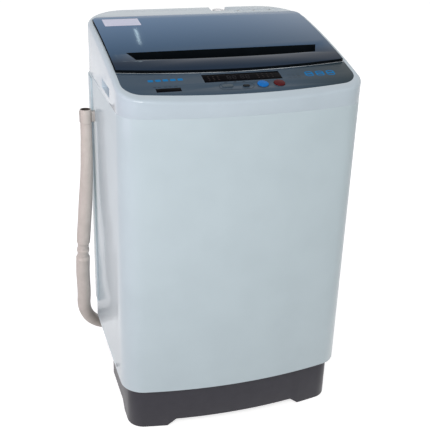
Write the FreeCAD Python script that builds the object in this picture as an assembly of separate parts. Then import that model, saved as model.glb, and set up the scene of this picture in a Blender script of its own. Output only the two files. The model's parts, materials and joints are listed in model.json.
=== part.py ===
import FreeCAD, Part
import os
from math import asin, atan2, cos, degrees, pi, radians, sin, sqrt, tan

# Top-loading washing machine, millimetres. +Z up, X to the right and -Y to the front.
# The origin is on the floor under the middle of the body.

V = FreeCAD.Vector

# ---- driving dimensions ----------------------------------------------------------------
# Body, seen from above: straight sides, a bowed front and wide rear corners.
BODY_W = 514.0
BODY_DEPTH = 460.0
FRONT_BOW_R = 1130.0
FRONT_CORNER_R = 53.0
REAR_CORNER_R = 100.0
COVER_PROUD = 3.0

# Heights.
SKIRT_TOP_Z = 108.0
SEAM_Z = 741.0
MOUTH_LOW_UP = 7.0
TOP_REAR_Z = 860.0
TOP_MID_Z = 828.0
TOP_FRONT_Z = 771.5

# Sheet steel, moulded walls and fits.
STEEL_T = 1.0
MOULD_T = 3.0
RUN_FIT = 0.06
LOOSE_FIT = 0.3

# Cable gland in the rear wall: in from the right side, and up from the skirt.
GLAND_IN = 149.0
GLAND_UP = 29.0
GLAND_R = 9.0

# Base skirt and feet.
SKIRT_INSET = 14.0
SKIRT_GROUND_GAP = 2.0
SKIRT_CUT_Z = 18.6
SKIRT_CUT_FROM_FOOT = 60.0
SKIRT_SIDE_CUT_FROM_FOOT = 44.0
SKIRT_CUT_SLANT = 20.0
CARRY_IN = 30.0
CARRY_BACK = 223.5
CARRY_TOP_Z = 56.0
BASE_FLOOR_Z = 22.0
BASE_HOLE_R = 150.0
FOOT_R = 18.0
FOOT_H = 8.0
FOOT_BOSS_R = 24.0
FOOT_FRONT_IN = (57.0, 63.5)
FOOT_REAR_IN = (77.0, 78.5)
FOOT_STUD_R = 5.0
FOOT_STUD_TOP_Z = 46.0
FOOT_PLUG_R = 9.0
FOOT_PLUG_H = 12.0

# Screws.
SCREW_HEAD_R = 4.0
SCREW_HEAD_T = 1.5
SCREW_SHANK_R = 1.8
SCREW_L = 12.0
SIDE_SCREW_IN = 115.5
SIDE_SCREW_UP = 14.0

# Rear cover and the service window behind it.
REAR_COVER_UP = 57.0
REAR_COVER_DOWN = 5.0
REAR_COVER_WRAP = 120.5
REAR_WINDOW_IN = 109.0
REAR_WINDOW_LAND = (45.0, 46.0)

# Top cover: the recess that holds lid and panel, and the mouth for the laundry.
RIM_W = 12.0
TOP_EDGE_R = 7.0
REAR_DECK_W = 60.5
FRONT_RIM_W = 24.5
RECESS_REAR_R = 16.0
RECESS_FRONT_R = 42.0
RECESS_BOW_R = 1450.0
MOUTH_SIDE_W = 29.0
MOUTH_FRONT_W = 27.0
MOUTH_REAR_W = 40.0
MOUTH_R = 50.0
GRIP_BACK = 171.5
GRIP_W = 80.0
GRIP_UP = 4.0
GRIP_H = 20.0
GRIP_DEPTH = 12.0

# Lid: a shell that stands proud of the recess, with a rim turned down all round.
LID_T = 4.0
LID_PROUD = 4.5
LID_SKIN = 3.0
LID_RIM_W = 6.0
LID_REAR_R = 24.0
LID_GAP = 1.0
LID_REAR_GAP = 3.4
LID_PIVOT_BACK = 21.0
LID_PIVOT_DOWN = 4.5
LID_PIN_R = 2.5
LID_EAR_IN = 21.0
LID_EAR_T = 6.0
LID_PIN_L = 7.0
LID_GRIP_IN = 36.0
LID_GRIP_BACK = 88.5
LID_GRIP_D = 38.5
LID_GRIP_END = 14.0
LID_GRIP_BOW = 6.0
LID_GRIP_DEEP = 14.0
LID_GRIP_WALL = 2.5
MAGNET_IN = 42.0
MAGNET_BACK = 7.5
MAGNET_SIZE = (18.0, 6.0, 2.6)
MAGNET_WALL = 2.0

# Control panel. A place on it is X, and the distance behind the front edge of the recess.
PANEL_W = 82.0
TRIM_BOW_R = 1700.0
TRIM_W = 3.0
DISPLAY_AT = (4.0, 60.0)
DISPLAY_SIZE = (164.0, 29.0)
STATUS_AT = (-156.0, 27.5)
STATUS_SIZE = (50.0, 13.0)
WINDOW_T = 2.0
ROUND_BUTTON = (0.0, 11.5)
PROGRAM_BUTTON = (3.5, 3.6)
LEVEL_BUTTON = (7.0, 4.6)
BUTTON_PROUD = 1.5
BUTTON_TRAVEL = 1.2
START_AT = (38.0, 30.0)
POWER_AT = (73.0, 30.0)
PROGRAM_AT = (2.0, 27.0)
LEVEL_AT = (-36.0, 30.0)
BUTTON_FLANGE = 2.0
BOARD_SIZE = (230.0, 56.0)
BOARD_T = 10.0
SWITCH_GAP = 0.6
BOARD_POST = 10.0

# Rear deck: notch, water inlet and service cover, placed from the rear and right sides.
INLET_X = 65.0
INLET_IN = 17.5
NOTCH_W = 42.0
NOTCH_IN = 35.5
NOTCH_DEEP = 26.0
INLET_R = 13.2
INLET_L = 16.0
INLET_BORE_R = 9.5
VALVE_SIZE = (44.0, 26.0, 34.0)
DECK_COVER_FROM_NOTCH = 10.0
DECK_COVER_IN = 59.0
DECK_COVER_BACK = (52.5, 24.5)
DECK_COVER_T = 2.0

# Detergent drawer under the rear deck.
DRAWER_X = (-132.0, -42.0)
DRAWER_DEPTH = 62.0
DRAWER_UP = 28.0
DRAWER_H = 28.0
DRAWER_T = 2.0

# Tub, basket and what turns in it, all round the Z axis.
TUB_REAR_GAP = 23.5
TUB_T = 3.0
TUB_LOW_Z = 238.0
TUB_TOP_DOWN = 29.0
TUB_FLOOR_T = 4.0
TUB_RING_H = 10.0
TUB_RING_W = 40.0
BASKET_GAP = 15.0
BASKET_T = 1.0
BASKET_UP = 24.0
BASKET_FLOOR_H = 22.0
BASKET_DOWN = 57.0
BALANCE_H = 45.0
BALANCE_W = 28.0
PULSATOR_IN = 25.0
PULSATOR_GAP = 4.0
PULSATOR_T = 8.0
VANE_H = 22.0
VANES = 6
SPIN_SHAFT_R = 13.0
WASH_SHAFT_R = 8.0
LINT_SIZE = (70.0, 12.0, 150.0)
LINT_DOWN = 35.0

# Drive under the tub.
CARRIER_T = 3.0
CARRIER_PAST_CLUTCH = 30.0
CARRIER_PAST_MOTOR = (17.0, 14.0)
CLUTCH_R = 50.0
CLUTCH_H = 87.0
BEARING_R = 26.0
BEARING_H = 14.0
MOTOR_X = 132.0
MOTOR_R = 56.0
MOTOR_H = 79.0
MOTOR_SHAFT_R = 6.0
CLUTCH_PULLEY_R = 60.0
MOTOR_PULLEY_R = 30.0
PULLEY_DOWN = 28.0
PULLEY_FLANGE_T = 3.0
PULLEY_FLANGE_UP = 7.0
BELT_W = 9.0
BELT_T = 6.0

# Drain: valve, pull rod and actuator under the tub, sump hose and outlet in the base.
DRAIN_XY = (-60.0, 118.0)
DRAIN_VALVE_R = 28.0
DRAIN_VALVE_H = 58.0
DRAIN_SPIGOT_R = 13.0
DRAIN_SPIGOT_L = 34.0
ACTUATOR_SIZE = (50.0, 52.0, 44.0)
ACTUATOR_GAP = 4.0
PULL_ROD_R = 3.0
PULL_ROD_DOWN = 26.0
PULL_TRAVEL = 14.0
SUMP_HOSE_T = 3.0
OUTLET_Z = 44.0
OUTLET_Y = 237.0

# Suspension: rod, spring and damper cup in each corner.
ROD_IN = (56.0, 65.5)
ROD_R = 4.0
ROD_UP = 20.0
ROD_HEAD_H = 7.0
HANGER_DOWN = 37.0
HANGER_T = 3.0
HANGER_LAND = 28.0
HANGER_CORNER = (132.0, 126.5)
ROD_SEAT_R = 11.0
ROD_SEAT_H = 8.0
SPRING_SEAT_R = 19.0
SPRING_SEAT_T = 4.0
SPRING_L = 64.0
SPRING_R = 14.0
SPRING_WIRE_R = 1.6
SPRING_TURNS = 7
SPRING_WIRE_SIDES = 8
CUP_R = 20.0
CUP_H = 24.0
LUG_R = 22.0
LUG_H = 14.0
TUB_TRAVEL_DOWN = 12.0

# Drain hose: route of its centre line from the outlet to the open end.
HOSE_R = 16.0
HOSE_BORE_R = 10.5
HOSE_CUFF_L = 33.0
HOSE_CUFF_R = 12.6
HOSE_CLAMP_W = 12.0
HOSE_CLAMP_T = 1.5
HOSE_ROUTE = [
    (-86, 239, 36), (-112, 241, 28), (-136, 241, 23), (-161, 238, 21), (-189, 230, 22),
    (-216, 218, 29), (-239, 206, 42), (-259, 194, 60), (-277, 181, 88), (-287, 167, 124),
    (-286, 154, 166), (-288, 146, 205), (-290, 136, 241), (-290, 125, 277), (-290, 115, 317),
    (-288, 106, 362), (-285, 99, 410), (-282, 93, 462), (-279, 88, 516), (-278, 84, 564),
    (-277, 83, 612), (-277, 84, 640)]

# ---- worked out from the driving dimensions ---------------------------------------------
HALF_W = BODY_W / 2
FRONT_Y = -(BODY_DEPTH + COVER_PROUD) / 2
REAR_Y = FRONT_Y + BODY_DEPTH
SKY_Z = TOP_REAR_Z + 60.0
FAR = 600.0

# Rear wall and base.
GLAND_XZ = (HALF_W - GLAND_IN, SKIRT_TOP_Z + GLAND_UP)
SIDE_SCREW_Y = REAR_Y - SIDE_SCREW_IN
SIDE_SCREW_Z = SKIRT_TOP_Z + SIDE_SCREW_UP
REAR_COVER_LOW_Z = SKIRT_TOP_Z + REAR_COVER_UP
REAR_COVER_TOP_Z = SEAM_Z - REAR_COVER_DOWN
REAR_COVER_FRONT_Y = REAR_Y - REAR_COVER_WRAP
REAR_WINDOW_HALF_W = HALF_W - REAR_WINDOW_IN
REAR_WINDOW_LOW_Z = REAR_COVER_LOW_Z + REAR_WINDOW_LAND[0]
REAR_WINDOW_TOP_Z = REAR_COVER_TOP_Z - REAR_WINDOW_LAND[1]
SKIRT_OUT = SKIRT_INSET
SKIRT_IN = SKIRT_INSET + MOULD_T
SKIRT_REAR_Y = REAR_Y - SKIRT_OUT
FOOT_FRONT_XY = (HALF_W - FOOT_FRONT_IN[0], FRONT_Y + FOOT_FRONT_IN[1])
FOOT_REAR_XY = (HALF_W - FOOT_REAR_IN[0], REAR_Y - FOOT_REAR_IN[1])
FOOT_XY = [(-FOOT_FRONT_XY[0], FOOT_FRONT_XY[1]), FOOT_FRONT_XY,
           (-FOOT_REAR_XY[0], FOOT_REAR_XY[1]), FOOT_REAR_XY]
ADJUSTABLE_FOOT_XY = FOOT_FRONT_XY
SKIRT_CUT_HALF = FOOT_FRONT_XY[0] - SKIRT_CUT_FROM_FOOT
SKIRT_SIDE_CUT_HALF = FOOT_REAR_XY[1] - SKIRT_SIDE_CUT_FROM_FOOT

# Top cover and lid.
LEDGE_DEPTH = LID_T + LOOSE_FIT
DECK_DEPTH = LEDGE_DEPTH + MOULD_T
RECESS_HALF_W = HALF_W - RIM_W
RECESS_REAR_Y = REAR_Y - REAR_DECK_W
RECESS_FRONT_Y = FRONT_Y + FRONT_RIM_W
TRIM_Y = RECESS_FRONT_Y + PANEL_W
MOUTH_HALF_W = RECESS_HALF_W - MOUTH_SIDE_W
MOUTH_FRONT_Y = TRIM_Y + MOUTH_FRONT_W
MOUTH_REAR_Y = RECESS_REAR_Y - MOUTH_REAR_W
MOUTH_LOW_Z = SEAM_Z + MOUTH_LOW_UP
GRIP_Y = FRONT_Y + GRIP_BACK
GRIP_LOW_Z = MOUTH_LOW_Z + GRIP_UP
LID_REAR_Y = RECESS_REAR_Y - LID_REAR_GAP
PIVOT_Y = LID_REAR_Y - LID_PIVOT_BACK
LID_EAR_X = RECESS_HALF_W - LID_EAR_IN
LID_GRIP_HALF_W = RECESS_HALF_W - LID_GRIP_IN
LID_GRIP_REAR_Y = TRIM_Y + LID_GRIP_BACK
MAGNET_X = RECESS_HALF_W - MAGNET_IN
TRIM_SAG = TRIM_BOW_R - sqrt(TRIM_BOW_R ** 2 - (MAGNET_X + MAGNET_SIZE[0] / 2) ** 2)
MAGNET_XY = (MAGNET_X, TRIM_Y + TRIM_SAG + MAGNET_BACK)

# Panel, buttons and board.
BUTTON_LOW_DEPTH = DECK_DEPTH + LOOSE_FIT + BUTTON_FLANGE
BOARD_DROP = BUTTON_LOW_DEPTH + BUTTON_TRAVEL + SWITCH_GAP
DISPLAY_XY = (DISPLAY_AT[0], RECESS_FRONT_Y + DISPLAY_AT[1])
STATUS_XY = (STATUS_AT[0], RECESS_FRONT_Y + STATUS_AT[1])
START_XY = (START_AT[0], RECESS_FRONT_Y + START_AT[1])
POWER_XY = (POWER_AT[0], RECESS_FRONT_Y + POWER_AT[1])
PROGRAM_XY = (PROGRAM_AT[0], RECESS_FRONT_Y + PROGRAM_AT[1])
LEVEL_XY = (LEVEL_AT[0], RECESS_FRONT_Y + LEVEL_AT[1])

# Rear deck and drawer.
INLET_XY = (INLET_X, REAR_Y - INLET_IN)
NOTCH_X = (INLET_X - NOTCH_W / 2, INLET_X + NOTCH_W / 2)
NOTCH_FRONT_Y = REAR_Y - NOTCH_IN
NOTCH_FLOOR_Z = TOP_REAR_Z - NOTCH_DEEP
DECK_COVER_X = (NOTCH_X[1] + DECK_COVER_FROM_NOTCH, HALF_W - DECK_COVER_IN)
DECK_COVER_Y = (REAR_Y - DECK_COVER_BACK[0], REAR_Y - DECK_COVER_BACK[1])
DRAWER_LOW_Z = MOUTH_LOW_Z + DRAWER_UP

# Tub, basket and drive.
TUB_R = REAR_Y - TUB_REAR_GAP
TUB_TOP_Z = SEAM_Z - TUB_TOP_DOWN
TUB_MOUTH_R = TUB_R - TUB_RING_W
BASKET_R = TUB_R - BASKET_GAP
BASKET_LOW_Z = TUB_LOW_Z + BASKET_UP
BASKET_TOP_Z = TUB_TOP_Z - BASKET_DOWN
BALANCE_MOUTH_R = BASKET_R - BALANCE_W
PULSATOR_R = BASKET_R - PULSATOR_IN
LINT_LOW_Z = BASKET_TOP_Z - LINT_DOWN - LINT_SIZE[2]
CARRIER_X = (-CLUTCH_R - CARRIER_PAST_CLUTCH, MOTOR_X + MOTOR_R + CARRIER_PAST_MOTOR[0])
CARRIER_HALF_Y = MOTOR_R + CARRIER_PAST_MOTOR[1]
CARRIER_LOW_Z = TUB_LOW_Z - CARRIER_T
CLUTCH_LOW_Z = CARRIER_LOW_Z - CLUTCH_H
MOTOR_LOW_Z = CARRIER_LOW_Z - MOTOR_H
PULLEY_LOW_Z = CLUTCH_LOW_Z - PULLEY_DOWN
DRAIN_VALVE_LOW_Z = TUB_LOW_Z - DRAIN_VALVE_H
PULL_ROD_Z = TUB_LOW_Z - PULL_ROD_DOWN
ACTUATOR_Y = -CARRIER_HALF_Y - ACTUATOR_GAP

# Suspension.
ROD_XY = (HALF_W - ROD_IN[0], REAR_Y - ROD_IN[1])
ROD_REACH = sqrt(ROD_XY[0] ** 2 + ROD_XY[1] ** 2)
ROD_CORNERS = [(sx * ROD_XY[0], sy * ROD_XY[1]) for sx in (-1, 1) for sy in (-1, 1)]
ROD_LOW_Z = TUB_LOW_Z + ROD_UP
HANGER_Z = SEAM_Z - HANGER_DOWN
ROD_HEAD_Z = HANGER_Z + HANGER_T + ROD_SEAT_H
ROD_TOP_Z = ROD_HEAD_Z + ROD_HEAD_H


# ---- helpers ------------------------------------------------------------------------------
def box(x, y, z):
    """A box between two limits on each axis."""
    return Part.makeBox(x[1] - x[0], y[1] - y[0], z[1] - z[0], V(x[0], y[0], z[0]))


def cylinder(radius, xy, low_z, top_z):
    return Part.makeCylinder(radius, top_z - low_z, V(xy[0], xy[1], low_z))


def ring(outer_r, inner_r, xy, low_z, top_z):
    return cylinder(outer_r, xy, low_z, top_z).cut(cylinder(inner_r, xy, low_z, top_z))


def mirror_x(shape):
    return shape.mirror(V(0, 0, 0), V(1, 0, 0))


def both_sides(shape):
    """The shape and its mirror image, as separate solids."""
    return Part.makeCompound([shape, mirror_x(shape)])


def outline(half_w, rear_y, rear_r, front_y, bow_r, front_r):
    """Closed outline on Z = 0: straight sides and rear, rounded corners, bowed front."""
    bow_cy = front_y + bow_r
    reach = bow_r - front_r
    corner_x = half_w - front_r
    corner_y = bow_cy - sqrt(reach ** 2 - corner_x ** 2)
    swing = atan2(corner_y - bow_cy, corner_x)
    bow_end = V(bow_r * cos(swing), bow_cy + bow_r * sin(swing), 0)
    corner_mid = V(corner_x + front_r * cos(swing / 2), corner_y + front_r * sin(swing / 2), 0)
    side_low = V(half_w, corner_y, 0)
    side_high = V(half_w, rear_y - rear_r, 0)
    rear_mid = V(half_w - rear_r * (1 - sqrt(0.5)), rear_y - rear_r * (1 - sqrt(0.5)), 0)
    rear_end = V(half_w - rear_r, rear_y, 0)

    def flip(point):
        return V(-point.x, point.y, 0)

    edges = [
        Part.Arc(flip(bow_end), V(0, front_y, 0), bow_end),
        Part.Arc(bow_end, corner_mid, side_low),
        Part.LineSegment(side_low, side_high),
        Part.Arc(side_high, rear_mid, rear_end),
        Part.LineSegment(rear_end, flip(rear_end)),
        Part.Arc(flip(rear_end), flip(rear_mid), flip(side_high)),
        Part.LineSegment(flip(side_high), flip(side_low)),
        Part.Arc(flip(side_low), flip(corner_mid), flip(bow_end)),
    ]
    return Part.Wire([edge.toShape() for edge in edges])


def upright(wire, low_z, top_z):
    """A prism on an outline, between two heights."""
    face = Part.Face(wire)
    face.translate(V(0, 0, low_z))
    return face.extrude(V(0, 0, top_z - low_z))


def plan(inset, low_z, top_z):
    """The body's own outline, moved inwards by inset, between two heights."""
    wire = outline(HALF_W - inset, REAR_Y - inset, REAR_CORNER_R - inset,
                   FRONT_Y + inset, FRONT_BOW_R - inset, FRONT_CORNER_R - inset)
    return upright(wire, low_z, top_z)


def top_arc():
    """Centre and radius, in the YZ plane, of the arc that the top follows."""
    y1, z1 = REAR_Y, TOP_REAR_Z
    y2, z2 = (REAR_Y + FRONT_Y) / 2, TOP_MID_Z
    y3, z3 = FRONT_Y, TOP_FRONT_Z
    a = 2 * (y2 - y1)
    b = 2 * (z2 - z1)
    c = y2 ** 2 + z2 ** 2 - y1 ** 2 - z1 ** 2
    d = 2 * (y3 - y1)
    e = 2 * (z3 - z1)
    f = y3 ** 2 + z3 ** 2 - y1 ** 2 - z1 ** 2
    centre_y = (c * e - b * f) / (a * e - b * d)
    centre_z = (a * f - c * d) / (a * e - b * d)
    return centre_y, centre_z, sqrt((y1 - centre_y) ** 2 + (z1 - centre_z) ** 2)


TOP_CY, TOP_CZ, TOP_R = top_arc()


def top_z(y, depth=0.0):
    """Height of the top surface, or of the surface depth below it, at a distance y."""
    return TOP_CZ + sqrt((TOP_R - depth) ** 2 - (y - TOP_CY) ** 2)


def under(depth):
    """All that lies under the top surface when that is lowered by depth."""
    ends = [2 * FRONT_Y, 0.0, 2 * REAR_Y]
    rim = [V(-FAR, y, top_z(y, depth)) for y in ends]
    foot = [V(-FAR, ends[2], 0), V(-FAR, ends[0], 0)]
    wire = Part.Wire([
        Part.Arc(rim[0], rim[1], rim[2]).toShape(),
        Part.LineSegment(rim[2], foot[0]).toShape(),
        Part.LineSegment(foot[0], foot[1]).toShape(),
        Part.LineSegment(foot[1], rim[0]).toShape(),
    ])
    return Part.Face(wire).extrude(V(2 * FAR, 0, 0))


def layer(solid, depth, low_depth):
    """The part of an upright solid between two depths below the top surface."""
    return solid.common(under(depth)).cut(under(low_depth))


def column(x, y):
    """A tall upright box, to be cut by layer."""
    return box(x, y, (MOUTH_LOW_Z - 20, SKY_Z))


def recess(inset=0.0):
    """Upright solid on the outline of the recess that lid and panel fill."""
    wire = outline(RECESS_HALF_W - inset, RECESS_REAR_Y - inset, RECESS_REAR_R - inset,
                   RECESS_FRONT_Y + inset, RECESS_BOW_R - inset, RECESS_FRONT_R - inset)
    return upright(wire, MOUTH_LOW_Z - 20, SKY_Z)


def lid_plan(inset=0.0):
    """Upright solid on the lid's own outline, short of the recess by its gaps."""
    gap = LID_GAP + inset
    wire = outline(RECESS_HALF_W - gap, LID_REAR_Y - inset, LID_REAR_R - inset,
                   RECESS_FRONT_Y + gap, RECESS_BOW_R - gap, RECESS_FRONT_R - gap)
    whole = upright(wire, MOUTH_LOW_Z - 20, SKY_Z)
    return whole.common(trim_disc(-TRIM_W / 2 - gap))


def trim_disc(grow):
    """Everything behind the bowed line between panel and lid, moved forward by grow."""
    return cylinder(TRIM_BOW_R + grow, (0, TRIM_Y + TRIM_BOW_R), MOUTH_LOW_Z - 20, SKY_Z)


def mouth(grow, low_z):
    wire = outline(MOUTH_HALF_W + grow, MOUTH_REAR_Y + grow, MOUTH_R + grow,
                   MOUTH_FRONT_Y - grow, TRIM_BOW_R + grow, MOUTH_R + grow)
    return upright(wire, low_z, SKY_Z)


def lid_grip(grow, low_depth):
    """The finger recess in the lid: straight behind, bowed in front, slanted ends."""
    half = LID_GRIP_HALF_W + grow
    rear = LID_GRIP_REAR_Y + grow
    front = LID_GRIP_REAR_Y - LID_GRIP_D - grow
    corner_x = half - LID_GRIP_END
    corner_y = front + LID_GRIP_BOW
    wire = Part.Wire([
        Part.Arc(V(-corner_x, corner_y, 0), V(0, front, 0), V(corner_x, corner_y, 0)).toShape(),
        Part.LineSegment(V(corner_x, corner_y, 0), V(half, rear, 0)).toShape(),
        Part.LineSegment(V(half, rear, 0), V(-half, rear, 0)).toShape(),
        Part.LineSegment(V(-half, rear, 0), V(-corner_x, corner_y, 0)).toShape(),
    ])
    return layer(upright(wire, MOUTH_LOW_Z, SKY_Z), -2 * LID_PROUD, low_depth)


def normal_prism(xy, half_len, radius, depth, low_depth):
    """A round or long-round prism square to the top surface at xy."""
    out = V(0, xy[1] - TOP_CY, top_z(xy[1]) - TOP_CZ).normalize()
    start = V(xy[0], xy[1], top_z(xy[1])) - out * low_depth
    height = low_depth - depth
    left = Part.makeCylinder(radius, height, start - V(half_len, 0, 0), out)
    if half_len == 0:
        return left
    right = Part.makeCylinder(radius, height, start + V(half_len, 0, 0), out)
    across = out.cross(V(1, 0, 0)).normalize()
    corner = start - V(half_len, 0, 0) - across * radius
    face = Part.Face(Part.makePolygon([
        corner, corner + V(2 * half_len, 0, 0),
        corner + V(2 * half_len, 0, 0) + across * (2 * radius),
        corner + across * (2 * radius), corner]))
    return left.fuse([right, face.extrude(out * height)]).removeSplitter()



# ---- cabinet: shell, rear cover, screws ---------------------------------------------------
SIDE_SCREWS = [(sx, sy * SIDE_SCREW_Y) for sx in (-1, 1) for sy in (-1, 1)]
REAR_SCREW_X = REAR_WINDOW_HALF_W - 3 * SCREW_HEAD_R
REAR_SCREW_LOW_Z = (REAR_COVER_LOW_Z + REAR_WINDOW_LOW_Z) / 2
REAR_SCREW_TOP_Z = (REAR_COVER_TOP_Z + REAR_WINDOW_TOP_Z) / 2
REAR_SCREWS = [(sx * REAR_SCREW_X, z) for sx in (-1, 1)
               for z in (REAR_SCREW_LOW_Z, REAR_SCREW_TOP_Z)]
DECK_SCREW_Y = (DECK_COVER_Y[0] + DECK_COVER_Y[1]) / 2
DECK_SCREW_MID_X = (DECK_COVER_X[0] + DECK_COVER_X[1]) / 2
DECK_SCREW_STEP = (DECK_COVER_X[1] - DECK_COVER_X[0]) / 2 - 3 * SCREW_HEAD_R
DECK_SCREWS = [(DECK_SCREW_MID_X + k * DECK_SCREW_STEP, DECK_SCREW_Y) for k in (-1, 0, 1)]


def rod_between(radius, start, end):
    return Part.makeCylinder(radius, (end - start).Length, start, end - start)


def side_screw_shanks(radius):
    return [rod_between(radius, V(sx * HALF_W, y, SIDE_SCREW_Z),
                        V(sx * (HALF_W - SCREW_L), y, SIDE_SCREW_Z)) for sx, y in SIDE_SCREWS]


def rear_screw_shanks(radius):
    start = REAR_Y + COVER_PROUD - SCREW_HEAD_T
    return [rod_between(radius, V(x, start, z), V(x, start - SCREW_L, z))
            for x, z in REAR_SCREWS]


def rear_screw_heads():
    face = REAR_Y + COVER_PROUD
    return [rod_between(SCREW_HEAD_R, V(x, face, z), V(x, face - SCREW_HEAD_T, z))
            for x, z in REAR_SCREWS]


def deck_screw(x, y, head_r, shank_r):
    head = normal_prism((x, y), 0, head_r, 0, SCREW_HEAD_T)
    shank = normal_prism((x, y), 0, shank_r, SCREW_HEAD_T, MOULD_T + DECK_COVER_T)
    return head.fuse(shank)


def deck_screws(head_r, shank_r):
    return [deck_screw(x, y, head_r, shank_r) for x, y in DECK_SCREWS]


def gland_hole(radius):
    x, z = GLAND_XZ
    return rod_between(radius, V(x, REAR_Y + FAR / 100, z), V(x, REAR_Y - FAR / 50, z))


def skirt_tabs(grow):
    """Uprights of the base that the side screws bite into, just inside the shell."""
    low_z = SKIRT_TOP_Z - grow
    high_z = SIDE_SCREW_Z + 3 * SCREW_HEAD_R + grow
    inner_x = HALF_W - SKIRT_IN - grow
    tabs = []
    for sx, y in SIDE_SCREWS:
        xs = sorted([sx * inner_x, sx * (HALF_W - STEEL_T)])
        half = 3 * SCREW_HEAD_R + grow
        tabs.append(box(xs, (y - half, y + half), (low_z, high_z)))
    return tabs


def make_cabinet_shell():
    shell = plan(0, SKIRT_TOP_Z, SEAM_Z)
    shell = shell.cut(plan(STEEL_T, SKIRT_TOP_Z + STEEL_T, SEAM_Z + STEEL_T))
    shell = shell.cut(plan(SKIRT_IN + 2 * STEEL_T, SKIRT_TOP_Z - STEEL_T, SEAM_Z))
    half = REAR_WINDOW_HALF_W
    window = box((-half, half), (REAR_Y - 2 * MOULD_T, REAR_Y + MOULD_T),
                 (REAR_WINDOW_LOW_Z, REAR_WINDOW_TOP_Z))
    cuts = [window, gland_hole(GLAND_R)] + side_screw_shanks(SCREW_SHANK_R)
    cuts += rear_screw_shanks(SCREW_SHANK_R) + skirt_tabs(0)
    return shell.cut(cuts)


def make_rear_cover():
    cover = plan(-COVER_PROUD, REAR_COVER_LOW_Z, REAR_COVER_TOP_Z)
    cover = cover.cut(plan(0, REAR_COVER_LOW_Z - 1, REAR_COVER_TOP_Z + 1))
    front = box((-FAR, FAR), (-FAR, REAR_COVER_FRONT_Y), (0, SEAM_Z))
    return cover.cut([front] + rear_screw_shanks(SCREW_SHANK_R) + rear_screw_heads())


def make_case_screws():
    screws = []
    for (sx, y), shank in zip(SIDE_SCREWS, side_screw_shanks(SCREW_SHANK_R)):
        head = rod_between(SCREW_HEAD_R, V(sx * HALF_W, y, SIDE_SCREW_Z),
                           V(sx * (HALF_W + SCREW_HEAD_T), y, SIDE_SCREW_Z))
        screws.append(head.fuse(shank))
    for head, shank in zip(rear_screw_heads(), rear_screw_shanks(SCREW_SHANK_R)):
        screws.append(head.fuse(shank))
    screws += deck_screws(SCREW_HEAD_R, SCREW_SHANK_R)
    return Part.makeCompound(screws)


def make_cable_gland():
    x, z = GLAND_XZ
    body = rod_between(GLAND_R, V(x, REAR_Y + COVER_PROUD, z), V(x, REAR_Y - 2 * MOULD_T, z))
    flange = rod_between(GLAND_R + MOULD_T, V(x, REAR_Y + COVER_PROUD / 2, z), V(x, REAR_Y, z))
    return body.fuse(flange).cut(gland_hole(GLAND_R / 2))


# ---- base: skirt and feet -----------------------------------------------------------------
def skirt_cut(half, along_x, low_y, high_y):
    """A slant-ended opening under one wall of the skirt."""
    rise = SKIRT_CUT_Z - SKIRT_GROUND_GAP
    pts = [(-half - SKIRT_CUT_SLANT, -rise), (-half - SKIRT_CUT_SLANT, 0), (-half, rise),
           (half, rise), (half + SKIRT_CUT_SLANT, 0), (half + SKIRT_CUT_SLANT, -rise)]
    if along_x:
        corners = [V(a, low_y, SKIRT_GROUND_GAP + b) for a, b in pts]
        push = V(0, high_y - low_y, 0)
    else:
        corners = [V(low_y, a, SKIRT_GROUND_GAP + b) for a, b in pts]
        push = V(high_y - low_y, 0, 0)
    return Part.Face(Part.makePolygon(corners + [corners[0]])).extrude(push)


def carry_recess(grow):
    """Hand holds under both sides of the base, from mid-depth back round the rear corners."""
    x = (HALF_W - CARRY_IN - grow, HALF_W)
    y = (REAR_Y - CARRY_BACK - grow, REAR_Y)
    return both_sides(box(x, y, (0, CARRY_TOP_Z + grow)))


def make_base_skirt():
    skirt = plan(SKIRT_OUT, SKIRT_GROUND_GAP, SKIRT_TOP_Z)
    skirt = skirt.cut(plan(SKIRT_IN, SKIRT_GROUND_GAP - 1, SKIRT_TOP_Z + 1))
    floor = plan(SKIRT_IN - MOULD_T / 2, BASE_FLOOR_Z, BASE_FLOOR_Z + MOULD_T)
    floor = floor.cut(cylinder(BASE_HOLE_R, (0, 0), 0, SKIRT_TOP_Z))
    bosses = [cylinder(FOOT_BOSS_R, xy, FOOT_H, BASE_FLOOR_Z + MOULD_T) for xy in FOOT_XY]
    holds = carry_recess(MOULD_T).common(plan(SKIRT_OUT, SKIRT_GROUND_GAP, SKIRT_TOP_Z))
    skirt = skirt.fuse([floor, holds] + bosses + skirt_tabs(0)).cut(carry_recess(0))
    side_half = SKIRT_SIDE_CUT_HALF
    rear_half = SKIRT_CUT_HALF - SKIRT_CUT_SLANT
    cuts = [skirt_cut(SKIRT_CUT_HALF, True, FRONT_Y, FRONT_Y + 3 * SKIRT_IN),
            skirt_cut(rear_half, True, REAR_Y - 3 * SKIRT_IN / 2, REAR_Y),
            skirt_cut(side_half, False, -HALF_W, -HALF_W + 3 * SKIRT_IN / 2),
            skirt_cut(side_half, False, HALF_W - 3 * SKIRT_IN / 2, HALF_W)]
    for xy in FOOT_XY:
        hole_r = FOOT_PLUG_R
        if xy == ADJUSTABLE_FOOT_XY:
            hole_r = FOOT_STUD_R + RUN_FIT
        cuts.append(cylinder(hole_r, xy, 0, SKIRT_TOP_Z / 2))
    cuts += side_screw_shanks(SCREW_SHANK_R)
    cuts.append(rod_between(DRAIN_SPIGOT_R, V(DRAIN_XY[0], SKIRT_REAR_Y - 2 * MOULD_T, OUTLET_Z),
                            V(DRAIN_XY[0], REAR_Y, OUTLET_Z)))
    return skirt.cut(cuts)


def make_fixed_feet():
    feet = []
    for xy in FOOT_XY:
        if xy == ADJUSTABLE_FOOT_XY:
            continue
        pad = cylinder(FOOT_R, xy, 0, FOOT_H)
        feet.append(pad.fuse(cylinder(FOOT_PLUG_R, xy, FOOT_H, FOOT_H + FOOT_PLUG_H)))
    return Part.makeCompound(feet)


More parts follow.
